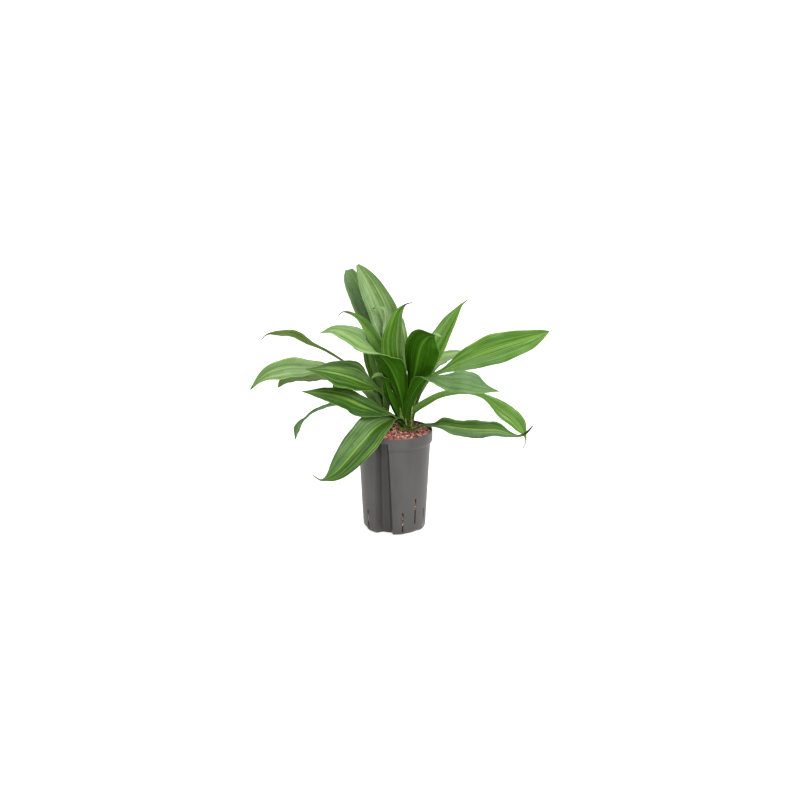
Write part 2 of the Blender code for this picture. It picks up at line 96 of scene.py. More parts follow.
# An ordinary leaf's half width, as a share of the widest, at shares of its length
LANCE = ((0, 0.2), (0.1, 0.24), (0.25, 0.55), (0.4, 0.85), (0.6, 1), (0.75, 0.86), (0.88, 0.5), (0.95, 0.2),
         (1, 0.03))

STEMS = {
    "shoot_main": [(16, 16, 150, 8.0), (16, 16, 205, 8.0), (15, 14, 240, 6.0), (15, 13, 268, 3.5)],
    "shoot_left": [(-18, 22, 150, 6.0), (-18, 22, 200, 6.0), (-18, 23, 230, 4.5), (-18, 24, 252, 3.0)],
    "shoot_right": [(31, 31, 150, 5.5), (31, 31, 200, 5.5), (32, 31, 228, 4.2), (33, 31, 248, 3.0)],
}


def lance(half):
    """The spread of an ordinary lance-shaped leaf with this widest half width."""
    return [(share, half * part, half * part) for share, part in LANCE]


@dataclass
class Leaf:
    """One leaf: its name, its two finishes, its midrib from stem to tip, and its blade's shape.

    The spread gives the half widths left and right of the midrib at shares of its length, and the fold
    the angle of both halves to the flat, in even steps from stem to tip. The bloom_and_sheen is how grey
    each half is: partly its real wax bloom, partly painted sheen, laid on more thickly on the half that
    catches the light; dark_end and dry_end are the shares of the length that are dark, or dry and brown,
    at the tip.
    """

    name: str
    upper: str
    under: str
    path: list
    facing: list
    spread: list
    fold: tuple = (50, 50, 31, 12, 12, 12)
    wave: float = EDGE_WAVE
    bloom_and_sheen: tuple = (0.2, 0.2)
    dark_end: float = 0.0
    dry_end: float = 0.0


LEAVES = {
    "shoot_main": [
        # the tallest, straight up behind the crown
        Leaf("tallest_leaf", "pale", "shaded_underside",
             [(15, 20, 201), (11, 32, 249), (-2, 54, 324), (-24, 77, 407), (-51, 90, 467),
              (-72, 96, 502)],
             [(0.3, -1, 0.3), (0.25, -1, 0.3), (0.15, -1, 0.2)],
             [(0, 6, 6), (0.1, 8, 8), (0.2, 16, 17), (0.3, 22, 24), (0.4, 27, 29), (0.5, 30, 31),
              (0.6, 31, 33), (0.7, 30, 32), (0.8, 27, 27), (0.9, 19, 18.5), (0.96, 10, 11), (1, 3, 3)],
             (55, 55, 41, 28, 21, 15), bloom_and_sheen=(0.6, 0.25)),
        # rises in front of the crown, turns over and arches to the left
        Leaf("pale_arching_leaf", "pale", "shaded_underside",
             [(16, 12, 206), (15, 2, 247), (7, -8, 284), (-4, -24, 318), (-19, -44, 346),
              (-36, -62, 366), (-57, -78, 383), (-77, -88, 399), (-95, -95, 410), (-115, -98, 416),
              (-138, -98, 410)],
             [BACK, (0.1, 1, 0.3), (0, 0.15, 1), (0, -0.8, 0.6), (0, -0.6, 0.8)],
             [(0, 6, 6), (0.1, 8, 9), (0.2, 17, 20), (0.3, 24, 26), (0.4, 28, 29), (0.5, 27, 26),
              (0.6, 22, 15), (0.68, 19, 17), (0.75, 19, 23), (0.82, 18, 20), (0.9, 13, 11),
              (0.96, 5, 4), (1, 0.8, 0.8)],
             (45, 38, 20, 8, 10, 12), bloom_and_sheen=(0.3, 0.4)),
        # upright folded leaf with a thin hooked tip
        Leaf("folded_centre_leaf", "fresh", "shaded_underside",
             [(16, 15, 204), (15, 16, 251), (12, 12, 292), (9, 4, 333), (6, -2, 372), (8, -6, 405),
              (11, -10, 429), (16, -12, 441), (24, -14, 448), (34, -14, 450)],
             [(0.1, -1, 0.1), (0.05, -1, 0.1), (0, -1, 0.3)],
             [(0, 7, 7), (0.1, 8, 8), (0.2, 11, 10), (0.35, 22, 11), (0.5, 32, 9), (0.65, 34, 8),
              (0.78, 25, 7.5), (0.87, 14, 5.5), (0.92, 4.5, 4), (0.95, 1.5, 1.5), (1, 0.8, 0.8)],
             (50, 40, 32, 24, 26, 30), bloom_and_sheen=(0.0, 0.65), dark_end=0.06),
        # broad upright leaf whose end curls over
        Leaf("broad_upright_leaf", "pale", "shaded_underside",
             [(18, 12, 206), (30, 2, 262), (41, -22, 322), (48, -46, 365), (54, -56, 382),
              (64, -62, 394), (76, -67, 399), (87, -71, 397)],
             [BACK, (0.4, 0.9, 0.2), (0.53, 0.85, 0.2), (0.3, 0.9, 0.3), (0.3, -0.2, 1)],
             [(0, 7, 7), (0.1, 9, 10), (0.25, 16, 19), (0.4, 25, 27), (0.52, 32, 32), (0.65, 37, 34),
              (0.73, 38, 33), (0.82, 33, 30), (0.89, 22, 22), (0.95, 11, 10), (1, 2, 2)],
             (50, 50, 33, 16, 18, 20), bloom_and_sheen=(0.5, 0.5)),
        # young pale leaf inside the crown, its tip hooked to the left
        Leaf("young_hooked_leaf", "pale", "shaded_underside",
             [(14, 18, 202), (11, 26, 239), (4, 36, 276), (-6, 44, 314), (-13, 50, 352), (-13, 54, 381),
              (-12, 56, 406), (-18, 58, 421), (-30, 60, 425), (-42, 62, 422)],
             [(0.2, -1, 0.2), (0.1, -1, 0.3), (0, -0.6, 0.8)],
             [(0, 5, 5), (0.15, 6, 6), (0.3, 9, 11), (0.45, 12, 15), (0.62, 12, 16), (0.74, 11, 14),
              (0.83, 9, 9), (0.9, 5, 5), (0.95, 1.8, 1.8), (1, 0.8, 0.8)],
             (55, 55, 41, 28, 21, 15), bloom_and_sheen=(0.8, 0.7), dark_end=0.02),
        # rises at the front right and arches over
        Leaf("front_right_leaf", "dusty", "shaded_underside",
             [(18, 12, 200), (25, 2, 237), (36, -10, 271), (51, -26, 297), (66, -42, 311),
              (83, -58, 313), (105, -76, 312), (131, -94, 314), (160, -112, 311), (195, -127, 306)],
             [(-0.5, 0.9, 0.3), (-0.4, 0.7, 0.6), FRONT_UP, (0.1, -0.7, 0.7)],
             [(0, 10, 8), (0.1, 10, 8), (0.2, 10, 10), (0.3, 9, 14), (0.4, 8, 19), (0.5, 8, 22),
              (0.6, 16, 23), (0.7, 25, 25), (0.76, 26, 27), (0.82, 22, 25), (0.9, 9, 15), (0.96, 3, 6),
              (1, 0.8, 0.8)],
             (50, 50, 29, 8, 10, 12), bloom_and_sheen=(0.5, 0.2)),
        # lowest on the right, level, with an upturned thread at its tip
        Leaf("low_right_leaf", "deep", "shaded_underside",
             [(18, 10, 204), (24, 0, 197), (32, -6, 195), (42, -8, 199), (52, -9, 205), (62, -10, 208),
              (74, -13, 209), (97, -22, 210), (128, -32, 208), (164, -42, 208), (196, -50, 209),
              (219, -54, 204), (236, -58, 200), (249, -60, 205), (264, -61, 222)],
             [(0, -0.1, 1), FRONT_UP, FRONT_UP, (0, -0.6, 0.8), (0, -0.5, 0.8)],
             [(0, 4, 4), (0.1, 4, 4), (0.2, 4, 5), (0.26, 5, 7), (0.32, 15, 10), (0.4, 16, 18),
              (0.5, 17, 23), (0.6, 19, 22), (0.7, 17, 20), (0.8, 5, 12), (0.85, 3, 6), (0.9, 3, 4),
              (0.95, 2, 3), (1, 0.8, 0.8)],
             (45, 30, 14, 12, 16, 20), bloom_and_sheen=(0.05, 0.35), dark_end=0.1),
        # broad leaf that hangs over the front left of the pot
        Leaf("front_drooping_leaf", "deep", "shaded_underside",
             [(17, 12, 198), (11, 2, 213), (0, -12, 221), (-17, -33, 221), (-38, -58, 214),
              (-55, -76, 200), (-72, -91, 184), (-90, -103, 165), (-107, -111, 148), (-124, -116, 136),
              (-138, -118, 131), (-153, -120, 141)],
             [(-0.1, -0.3, 1), (0, -1, 0.35), (-0.1, -0.9, 0.4)],
             [(0, 6, 6), (0.1, 10, 6), (0.2, 17, 12), (0.3, 26, 24), (0.4, 29, 34), (0.5, 30, 33),
              (0.6, 28, 31), (0.7, 25, 26), (0.8, 19, 18), (0.86, 12, 9), (0.905, 4, 3),
              (0.94, 1.6, 1.6), (1, 0.8, 0.8)],
             (40, 40, 25, 8, 12, 15), wave=1.5, bloom_and_sheen=(0.05, 0.3)),
        # low left, above the hanging one
        Leaf("low_left_leaf", "deep", "shaded_underside",
             [(15, 12, 194), (5, -2, 212), (-8, -8, 222), (-28, -22, 235), (-46, -36, 247),
              (-65, -48, 259), (-84, -60, 271), (-103, -72, 281), (-125, -81, 289), (-149, -90, 294),
              (-173, -97, 298)],
             [(0.1, -0.2, 1), (0, -0.8, 0.6), (0, -0.5, 0.85)],
             [(0, 5, 5), (0.1, 8, 7), (0.2, 15, 10), (0.3, 23, 14), (0.4, 28, 16), (0.5, 31, 19),
              (0.6, 31, 21), (0.7, 29, 18), (0.8, 22, 14), (0.9, 15, 7), (0.96, 6, 3), (1, 0.8, 0.8)],
             bloom_and_sheen=(0.15, 0.0)),
        # arches straight back
        Leaf("back_middle_leaf", "pale", "shaded_underside",
             [(15, 20, 195), (14, 42, 240), (12, 66, 290), (6, 112, 340), (-4, 165, 366),
              (-12, 222, 364), (-16, 268, 336)],
             [(0, -1, 0.4), (0, -0.6, 0.8), (0, 0.2, 1)],
             lance(25),
             (55, 55, 41, 28, 21, 15)),
        # the youngest, its end bent over towards the front
        Leaf("young_inner_leaf", "pale", "shaded_underside",
             [(15, 14, 201), (7, 10, 222), (-3, 6, 245), (-11, 3, 266), (-15, 0, 285), (-19, -3, 300),
              (-27, -5, 306), (-37, -6, 305), (-44, -7, 300)],
             [BACK, BACK, (0, 0.4, 0.9), (0, -0.5, 0.8)],
             [(0, 10, 10), (0.15, 10, 10), (0.35, 12, 9), (0.5, 10, 7), (0.65, 6, 6), (0.8, 8, 8),
              (0.9, 6, 6), (0.96, 3, 3), (1, 0.8, 0.8)],
             (50, 40, 30, 15, 12, 12), wave=1.0),
    ],
    "shoot_left": [
        # tall, behind the tallest one, its end blunt
        Leaf("tall_back_left_leaf", "dusty", "shaded_underside",
             [(-18, 24, 192), (-16, 38, 242), (-26, 78, 334), (-56, 106, 412), (-77, 120, 451),
              (-88, 127, 472), (-92, 131, 485)],
             [(0.3, -1, 0.2), (0.2, -1, 0.3), (0.4, -1, 0.3)],
             [(0, 5, 5), (0.1, 7, 7), (0.2, 14, 14), (0.3, 20, 20), (0.4, 24, 24), (0.5, 27, 27),
              (0.6, 28, 28), (0.7, 28, 27), (0.8, 27, 26), (0.9, 21, 22), (0.96, 14, 17), (1, 6, 10)],
             (55, 55, 41, 28, 21, 15), bloom_and_sheen=(0.5, 0.1)),
        # narrow, with a long hooked tip
        Leaf("hooked_left_leaf", "fresh", "shaded_underside",
             [(-18, 20, 192), (-16, 24, 249), (-18, 26, 288), (-22, 27, 326), (-30, 34, 350),
              (-44, 40, 374), (-59, 46, 393), (-70, 52, 404), (-81, 56, 411), (-90, 60, 414),
              (-99, 62, 415), (-105, 63, 411), (-110, 63, 403)],
             [(0.4, -0.8, 0.2), (-0.3, -0.5, 0.8), (-0.2, -0.3, 0.9)],
             [(0, 5, 5), (0.2, 6, 6), (0.4, 13, 14), (0.55, 17, 17), (0.67, 13, 14), (0.77, 8, 11),
              (0.83, 5.5, 8), (0.88, 4.5, 5), (0.91, 3.5, 3.5), (0.94, 1.8, 1.8), (0.97, 1.2, 1.2),
              (1, 0.8, 0.8)],
             (50, 50, 42, 35, 32, 30), dry_end=0.1),
        # broad, towards the front left
        Leaf("dark_left_leaf", "deep", "shaded_underside",
             [(-18, 20, 194), (-20, 15, 236), (-25, 6, 264), (-37, -13, 282), (-54, -34, 296),
              (-73, -52, 309), (-93, -66, 320), (-117, -80, 330), (-139, -92, 337), (-165, -105, 343)],
             [(0.3, -0.3, 1), (0, -0.85, 0.55), (0, -0.6, 0.8)],
             [(0, 6, 6), (0.1, 6, 6), (0.2, 7, 6), (0.3, 8, 6), (0.4, 10, 8), (0.5, 17, 20),
              (0.55, 21, 30), (0.6, 25, 34), (0.7, 30, 31), (0.8, 32, 22), (0.9, 18, 9), (0.96, 6, 3.5),
              (1, 0.8, 0.8)],
             (50, 50, 30, 10, 11, 12), bloom_and_sheen=(0.05, 0.2)),
        # reaches furthest left, tip hanging
        Leaf("far_left_leaf", "pale", "shaded_underside",
             [(-18, 21, 192), (-18, 18, 229), (-34, 14, 254), (-55, 10, 273), (-82, 6, 291),
              (-110, 2, 306), (-143, 0, 317), (-175, -5, 321), (-204, -9, 322), (-234, -12, 315),
              (-257, -14, 301), (-276, -15, 280)],
             [(0.3, -0.3, 1), (0, -0.65, 0.75), FRONT_UP, (-0.3, -0.8, 0.5)],
             [(0, 5, 5), (0.2, 5, 6), (0.4, 7, 9), (0.5, 8, 11), (0.6, 13, 17), (0.7, 24, 19.5),
              (0.8, 26, 17.5), (0.9, 13, 10), (0.95, 6, 5), (1, 0.8, 0.8)],
             (50, 50, 28, 6, 15, 25), bloom_and_sheen=(0.45, 0.3), dark_end=0.02),
        # long stalk, narrow blade high on the left
        Leaf("long_stalked_left_leaf", "olive", "shaded_olive_underside",
             [(-18, 24, 192), (-26, 34, 236), (-40, 44, 264), (-59, 48, 291), (-83, 53, 308),
              (-104, 57, 321), (-126, 62, 333), (-145, 67, 342), (-165, 71, 351), (-184, 75, 361),
              (-200, 78, 367), (-216, 80, 369), (-233, 83, 369), (-247, 85, 366), (-255, 86, 361),
              (-261, 86, 353)],
             [UP_FRONT, (0, -0.5, 0.85), (-0.1, -0.6, 0.8)],
             [(0, 4, 4), (0.3, 3.5, 3.5), (0.5, 3.2, 3.2), (0.56, 3.5, 3.5), (0.625, 5, 4.5),
              (0.69, 7, 6.5), (0.755, 10.5, 8.5), (0.8, 12.5, 9.5), (0.85, 11, 8.5), (0.9, 7, 4),
              (0.943, 2.2, 1.8), (1, 0.8, 0.8)],
             (45, 45, 35, 28, 22, 15)),
        # behind the furthest one and lower
        Leaf("olive_left_leaf", "olive", "shaded_olive_underside",
             [(-18, 23, 192), (-24, 32, 231), (-55, 42, 263), (-87, 48, 279), (-116, 52, 286),
              (-145, 55, 290), (-173, 58, 287), (-196, 60, 283), (-214, 61, 279), (-228, 62, 264)],
             [UP_FRONT, (0, -0.3, 0.95), (-0.2, -0.4, 0.9)],
             [(0, 4, 4), (0.1, 5, 5), (0.2, 8, 8), (0.3, 12, 12), (0.5, 18, 18), (0.65, 20, 20),
              (0.8, 19, 18), (0.9, 14, 13), (0.96, 8, 10), (1, 1, 1)],
             (50, 50, 29, 8, 9, 10)),
        # thin, seen edge on, with a hanging end
        Leaf("thin_left_leaf", "dusty", "shaded_underside",
             [(-18, 20, 193), (-28, 14, 220), (-47, 10, 233), (-76, 6, 241), (-105, 2, 245),
              (-132, -1, 243), (-157, -5, 233), (-170, -7, 222), (-182, -9, 212), (-188, -10, 198),
              (-191, -10, 179)],
             [(0.2, -0.2, 1), (0, -0.25, 1), (0, -0.2, 1), (-0.7, -0.6, 0.4)],
             [(0, 4, 4), (0.2, 9, 7), (0.3, 13, 9), (0.4, 13, 10), (0.5, 11, 11), (0.6, 8, 8),
              (0.7, 5, 5), (0.79, 4, 4), (0.84, 8, 6), (0.9, 10, 9), (0.95, 6, 5), (1, 1, 1)],
             (50, 50, 29, 8, 12, 15), wave=1.5, bloom_and_sheen=(0.4, 0.4)),
        # upright striped one on the left of the crown
        Leaf("striped_inner_leaf", "fresh", "shaded_underside",
             [(-18, 23, 192), (-18, 30, 217), (-24, 38, 245), (-31, 44, 268), (-40, 50, 293),
              (-48, 55, 317), (-52, 59, 340), (-55, 63, 363)],
             [(0.4, -1, 0.1), (0.3, -1, 0.2), (0.2, -1, 0.3)],
             [(0, 5, 5), (0.15, 5, 5), (0.3, 9, 9), (0.45, 12, 12), (0.6, 13, 13), (0.74, 13, 13),
              (0.87, 10, 10), (0.95, 5, 5), (1, 0.8, 0.8)],
             (55, 55, 41, 28, 21, 15)),
        # back left
        Leaf("back_left_leaf", "pale", "shaded_underside",
             [(-19, 24, 192), (-27, 44, 216), (-46, 78, 240), (-76, 130, 251), (-104, 180, 240),
              (-124, 226, 210)],
             [(0, -1, 0.4), (0, -0.4, 1), (0, 0.3, 1)],
             lance(26),
             (55, 55, 41, 28, 21, 15)),
        # hangs down behind the pot
        Leaf("back_low_leaf", "dusty", "shaded_underside",
             [(-18, 24, 193), (-26, 44, 206), (-36, 80, 214), (-44, 124, 196), (-46, 160, 158),
              (-46, 184, 112)],
             [(0, -0.6, 0.8), UP, (0, 0.9, 0.5)],
             lance(21),
             (55, 55, 41, 28, 21, 15)),
    ],
    "shoot_right": [
        # up to the right
        Leaf("upper_right_leaf", "fresh", "shaded_underside",
             [(31, 32, 192), (32, 40, 249), (52, 55, 295), (81, 68, 341), (104, 80, 382),
              (123, 86, 412), (131, 88, 424), (143, 90, 434)],
             [(-0.3, -1, 0.3), (-0.2, -1, 0.3), (-0.1, -1, 0.4)],
             [(0, 5, 5), (0.1, 6, 6), (0.2, 13, 13), (0.3, 19, 20), (0.4, 23, 23), (0.5, 26, 24),
              (0.6, 25, 21), (0.7, 21, 16), (0.8, 16, 12), (0.87, 10, 7), (0.92, 5, 3.5),
              (0.96, 1.8, 1.6), (1, 0.8, 0.8)],
             (55, 55, 41, 28, 21, 15), bloom_and_sheen=(0.35, 0.05)),
        # the broad striped one that reaches furthest right
        Leaf("broad_right_leaf", "fresh", "shaded_underside",
             [(31, 30, 192), (36, 26, 255), (61, 30, 288), (88, 35, 302), (137, 42, 325),
              (205, 47, 349), (263, 50, 367), (300, 50, 380)],
             [(-0.4, -0.6, 0.8), (-0.1, -0.9, 0.5), (0, -0.9, 0.4)],
             [(0, 6, 6), (0.2, 6, 6), (0.3, 5, 6), (0.35, 4.5, 6), (0.4, 5, 9), (0.45, 10, 17),
              (0.5, 17, 24), (0.6, 26, 29), (0.7, 30, 33), (0.8, 24, 30), (0.9, 15, 22), (0.96, 8, 11),
              (1, 1, 1)],
             (50, 50, 31, 12, 11, 10), bloom_and_sheen=(0.1, 0.25)),
        # behind it, to the back right
        Leaf("pale_back_right_leaf", "pale", "shaded_underside",
             [(32, 33, 192), (46, 60, 252), (70, 90, 297), (92, 120, 308), (131, 150, 310),
              (180, 175, 311)],
             [UP_FRONT, (0, -0.45, 0.9), (0, -0.4, 0.9)],
             [(0, 4, 4), (0.1, 5, 5), (0.2, 9, 9), (0.3, 14, 14), (0.4, 18, 18), (0.5, 19, 19),
              (0.6, 19, 17), (0.7, 15, 14), (0.8, 12, 12), (0.9, 6, 7), (0.96, 3, 3), (1, 0.8, 0.8)],
             (45, 45, 26, 8, 8, 8), bloom_and_sheen=(0.4, 0.4)),
        # long stalk that arches over, the blade hanging at its end
        Leaf("hanging_right_leaf", "fresh", "shaded_olive_underside",
             [(32, 30, 192), (34, 32, 217), (46, 35, 229), (60, 38, 238), (79, 42, 248), (99, 48, 254),
              (118, 54, 257), (138, 60, 256), (158, 66, 252), (178, 70, 242), (208, 70, 217),
              (235, 66, 196), (253, 62, 174), (259, 60, 156), (253, 58, 140)],
             [FRONT_UP, (0.1, -0.6, 0.8), (0.3, -0.8, 0.5), (0.3, -0.9, 0.3)],
             [(0, 7, 7), (0.1, 8, 8), (0.2, 9, 9), (0.35, 7, 9), (0.45, 7, 9), (0.52, 6, 7),
              (0.57, 7, 7), (0.66, 15, 14), (0.76, 20, 17), (0.85, 15, 13), (0.905, 5, 4),
              (0.94, 1.5, 1.5), (1, 0.8, 0.8)],
             (40, 30, 25, 20, 15, 15)),
        # back right
        Leaf("back_right_leaf", "dusty", "shaded_underside",
             [(32, 33, 192), (35, 48, 232), (42, 84, 282), (52, 140, 312), (61, 196, 310),
              (69, 244, 292), (74, 276, 264)],
             [(0, -1, 0.4), (0, -0.4, 1), (0, 0.3, 1)],
             lance(22),
             (55, 55, 41, 28, 21, 15)),
    ],
}


# Small helpers

def linear(hex_colour):
    """A six-digit sRGB hex colour as linear RGBA."""
    channels = []
    for start in (0, 2, 4):
        value = int(hex_colour[start:start + 2], 16) / 255
        channels.append(value / 12.92 if value <= 0.04045 else ((value + 0.055) / 1.055) ** 2.4)
    return (*channels, 1.0)


def add_node(tree, kind, settings=None, inputs=None):
    """A node with its own settings, and inputs given as values or as the sockets that feed them."""
    node = tree.nodes.new(kind)
    for name, value in (settings or {}).items():
        setattr(node, name, value)
    for name, value in (inputs or {}).items():
        if isinstance(value, bpy.types.NodeSocket):
            tree.links.new(value, node.inputs[name])
        else:
            node.inputs[name].default_value = value
    return node


def blend_colours(tree, share, first, second):
    """First colour where share is 0, second where it is 1."""
    mixed = add_node(tree, "ShaderNodeMix", {"data_type": "RGBA"}, {0: share, 6: first, 7: second})
    return mixed.outputs[2]


def stretch(tree, value, low, high, to_low=0.0, to_high=1.0, kind="SMOOTHSTEP"):
    """The value carried from one range to another, clamped."""
    node = add_node(tree, "ShaderNodeMapRange", {"interpolation_type": kind},
                    {0: value, 1: low, 2: high, 3: to_low, 4: to_high})
    return node.outputs[0]


def maths(tree, operation, first, second=0.0):
    node = add_node(tree, "ShaderNodeMath", {"operation": operation}, {0: first, 1: second})
    return node.outputs[0]


def new_material(name):
    """An empty Principled material and its shader."""
    material = bpy.data.materials.new(name)
    material.use_nodes = True
    return material, material.node_tree, material.node_tree.nodes["Principled BSDF"]


def deselect_all():
    bpy.ops.object.select_all(action="DESELECT")


def make_active(piece):
    deselect_all()
    piece.select_set(True)
    bpy.context.view_layer.objects.active = piece


def apply_modifier(piece, kind, **settings):
    """Add a modifier with these settings and apply it."""
    make_active(piece)
    modifier = piece.modifiers.new(kind.lower(), kind)
    for name, value in settings.items():
        setattr(modifier, name, value)
    bpy.ops.object.modifier_apply(modifier=modifier.name)


def smooth(piece, angle=40.0):
    make_active(piece)
    bpy.ops.object.shade_smooth_by_angle(angle=math.radians(angle))


def shaped_grid(name, places):
    """A grid primitive whose corners are moved to these places: rows, columns, xyz in millimetres.

    Returns the piece, and each of its corners' row and column.
    """
    rows, columns = places.shape[0] - 1, places.shape[1] - 1
    deselect_all()
    bpy.ops.mesh.primitive_grid_add(x_subdivisions=columns, y_subdivisions=rows, size=1.0)
    piece = bpy.context.object
    piece.name = name
    piece.data.name = name
    corners = np.empty(len(piece.data.vertices) * 3)
    piece.data.vertices.foreach_get("co", corners)
    corners = corners.reshape(-1, 3)
    column = np.rint((corners[:, 0] + 0.5) * columns).astype(int)
    row = np.rint((corners[:, 1] + 0.5) * rows).astype(int)
    piece.data.vertices.foreach_set("co", (places[row, column] * MM).ravel())
    piece.data.update()
    piece.data.uv_layers[0].name = "blade"
    return piece, row, column


def close_tube(piece):
    """Join a grid's two long edges into a tube, close its ends and point its faces outwards."""
    make_active(piece)
    bpy.ops.object.mode_set(mode="EDIT")
    bpy.ops.mesh.select_all(action="SELECT")
    bpy.ops.mesh.remove_doubles(threshold=0.00001)
    bpy.ops.mesh.fill_holes(sides=0)
    bpy.ops.mesh.normals_make_consistent(inside=False)
    bpy.ops.object.mode_set(mode="OBJECT")


def join(pieces, name):
    """Join pieces into the first one."""
    deselect_all()
    for piece in pieces:
        piece.select_set(True)
    bpy.context.view_layer.objects.active = pieces[0]
    bpy.ops.object.join()
    pieces[0].name = name
    pieces[0].data.name = name
    return pieces[0]


def set_attribute(piece, name, values):
    layer = piece.data.attributes.new(name, "FLOAT", "POINT")
    layer.data.foreach_set("value", np.asarray(values, float))


def unit(vectors):
    return vectors / (np.linalg.norm(vectors, axis=-1, keepdims=True) + 1e-12)


def smooth_path(points, steps):
    """Evenly spaced points on a smooth curve through the given ones, and its length."""
    knots = np.asarray(points, float)
    gaps = np.linalg.norm(np.diff(knots, axis=0), axis=1) ** 0.5
    slopes = np.diff(knots, axis=0) / gaps[:, None]
    tangents = np.empty_like(knots)
    tangents[0] = slopes[0]
    tangents[-1] = slopes[-1]
    before = gaps[:-1, None]
    behind = gaps[1:, None]
    tangents[1:-1] = (slopes[:-1] * behind + slopes[1:] * before) / (before + behind)
    u = np.linspace(0, 1, 40, endpoint=False)[:, None]
    pieces = []
    for k, gap in enumerate(gaps):
        pieces.append((2 * u**3 - 3 * u**2 + 1) * knots[k] + (u**3 - 2 * u**2 + u) * gap * tangents[k]
                      + (3 * u**2 - 2 * u**3) * knots[k + 1] + (u**3 - u**2) * gap * tangents[k + 1])
    curve = np.concatenate(pieces + [knots[-1:]])
    along = np.concatenate([[0], np.cumsum(np.linalg.norm(np.diff(curve, axis=0), axis=1))])
    wanted = np.linspace(0, along[-1], steps + 1)
    return np.stack([np.interp(wanted, along, curve[:, k]) for k in range(3)], -1), along[-1]


# Leaf finishes

def streaky_noise(tree, grain, width, length, detail=2.0):
    """Noise in streaks along the veins, this many millimetres wide and long."""
    at = add_node(tree, "ShaderNodeMapping", None, {0: grain, 3: (1 / width, 1 / length, 1.0)})
    noise = add_node(tree, "ShaderNodeTexNoise", {"noise_dimensions": "2D"},
                     {"Vector": at.outputs[0], "Scale": 1.0, "Detail": detail, "Roughness": 0.6})
    return noise.outputs[0]


def leaf_material(name, dark, ground, light, bloom_and_sheen, stripe_share, rib_share, roughness, shine):
    """Living leaf: a waxy skin over long parallel veins.

    The wax gives a soft gloss, and a grey bloom where it is thick; the same grey also stands as painted
    sheen, laid on more thickly on the half of a leaf that catches the light. Lighter and darker stripes run
    from stem to tip, 3 to 8 mm wide, and fade in and out. Single veins are about 1 mm apart, and
    drawn 1.7 mm apart here so that they show. The rib is a thin light line; the margins are a thin pale
    line of painted edge highlight.
    """
    material, tree, shader = new_material(name)
    blade = add_node(tree, "ShaderNodeUVMap", {"uv_map": "blade"})
    place = add_node(tree, "ShaderNodeSeparateXYZ", None, {0: blade.outputs[0]})
    grain = add_node(tree, "ShaderNodeUVMap", {"uv_map": "grain"}).outputs[0]
    across = maths(tree, "MULTIPLY", maths(tree, "ABSOLUTE", maths(tree, "SUBTRACT", place.outputs[0], 0.5)), 2.0)
    along = place.outputs[1]
    patches = streaky_noise(tree, grain, 20.0, 110.0)
    stripes = streaky_noise(tree, grain, 5.5, 190.0, 3.0)
    veins = streaky_noise(tree, grain, 1.7, 400.0, 1.0)
    blotches = streaky_noise(tree, grain, 12.0, 26.0, 3.0)

    colour = blend_colours(tree, stretch(tree, stripes, 0.52, 0.36), linear(ground), linear(dark))
    strong = stretch(tree, patches, 0.38, 0.62, 0.25, 1.0)
    light_share = maths(tree, "MULTIPLY", stretch(tree, stripes, 0.52, 0.66), strong)
    colour = blend_colours(tree, maths(tree, "MULTIPLY", light_share, stripe_share), colour, linear(light))
    colour = blend_colours(tree, stretch(tree, veins, 0.52, 0.72, 0.0, 0.35), colour, linear(light))
    # grey of real wax bloom and painted sheen, as much as each half's bloom_and_sheen attribute gives
    bloom_and_sheen_level = add_node(tree, "ShaderNodeAttribute", {"attribute_name": "bloom_and_sheen"}).outputs["Fac"]
    bloom_and_sheen_share = maths(tree, "MULTIPLY", bloom_and_sheen_level, stretch(tree, patches, 0.3, 0.65, 0.6, 1.0))
    colour = blend_colours(tree, bloom_and_sheen_share, colour, linear(bloom_and_sheen))
    colour = blend_colours(tree, stretch(tree, veins, 0.48, 0.3, 0.0, 0.4), colour, linear(dark))
    colour = blend_colours(tree, stretch(tree, blotches, 0.5, 0.75, 0.0, 0.3), colour, linear(dark))
    rib = maths(tree, "MULTIPLY", stretch(tree, across, 0.12, 0.01), rib_share)
    colour = blend_colours(tree, rib, colour, linear(light))
    # thin pale line along the margins: painted edge highlight
    margin_highlight = stretch(tree, across, 0.97, 1.0, 0.0, 0.3)
    colour = blend_colours(tree, margin_highlight, colour, linear("8CA458"))
    base = stretch(tree, along, 0.14, 0.0, 0.0, 0.5)
    colour = blend_colours(tree, base, colour, linear("465E14"))
    dark_end = add_node(tree, "ShaderNodeAttribute", {"attribute_name": "dark_end"}).outputs["Fac"]
    colour = blend_colours(tree, dark_end, colour, linear("16280A"))
    dry_end = add_node(tree, "ShaderNodeAttribute", {"attribute_name": "dry_end"}).outputs["Fac"]
    colour = blend_colours(tree, dry_end, colour, linear("4A3A20"))
    tree.links.new(colour, shader.inputs["Base Color"])

    gloss = stretch(tree, blotches, 0.3, 0.7, roughness - 0.05, roughness + 0.09, "LINEAR")
    tree.links.new(gloss, shader.inputs["Roughness"])
    relief = maths(tree, "ADD", maths(tree, "MULTIPLY", stripes, 2.2), veins)
    bump = add_node(tree, "ShaderNodeBump", None, {"Height": relief, "Strength": 0.5, "Distance": 0.0007})
    tree.links.new(bump.outputs[0], shader.inputs["Normal"])
    shader.inputs["Specular IOR Level"].default_value = shine
    return material


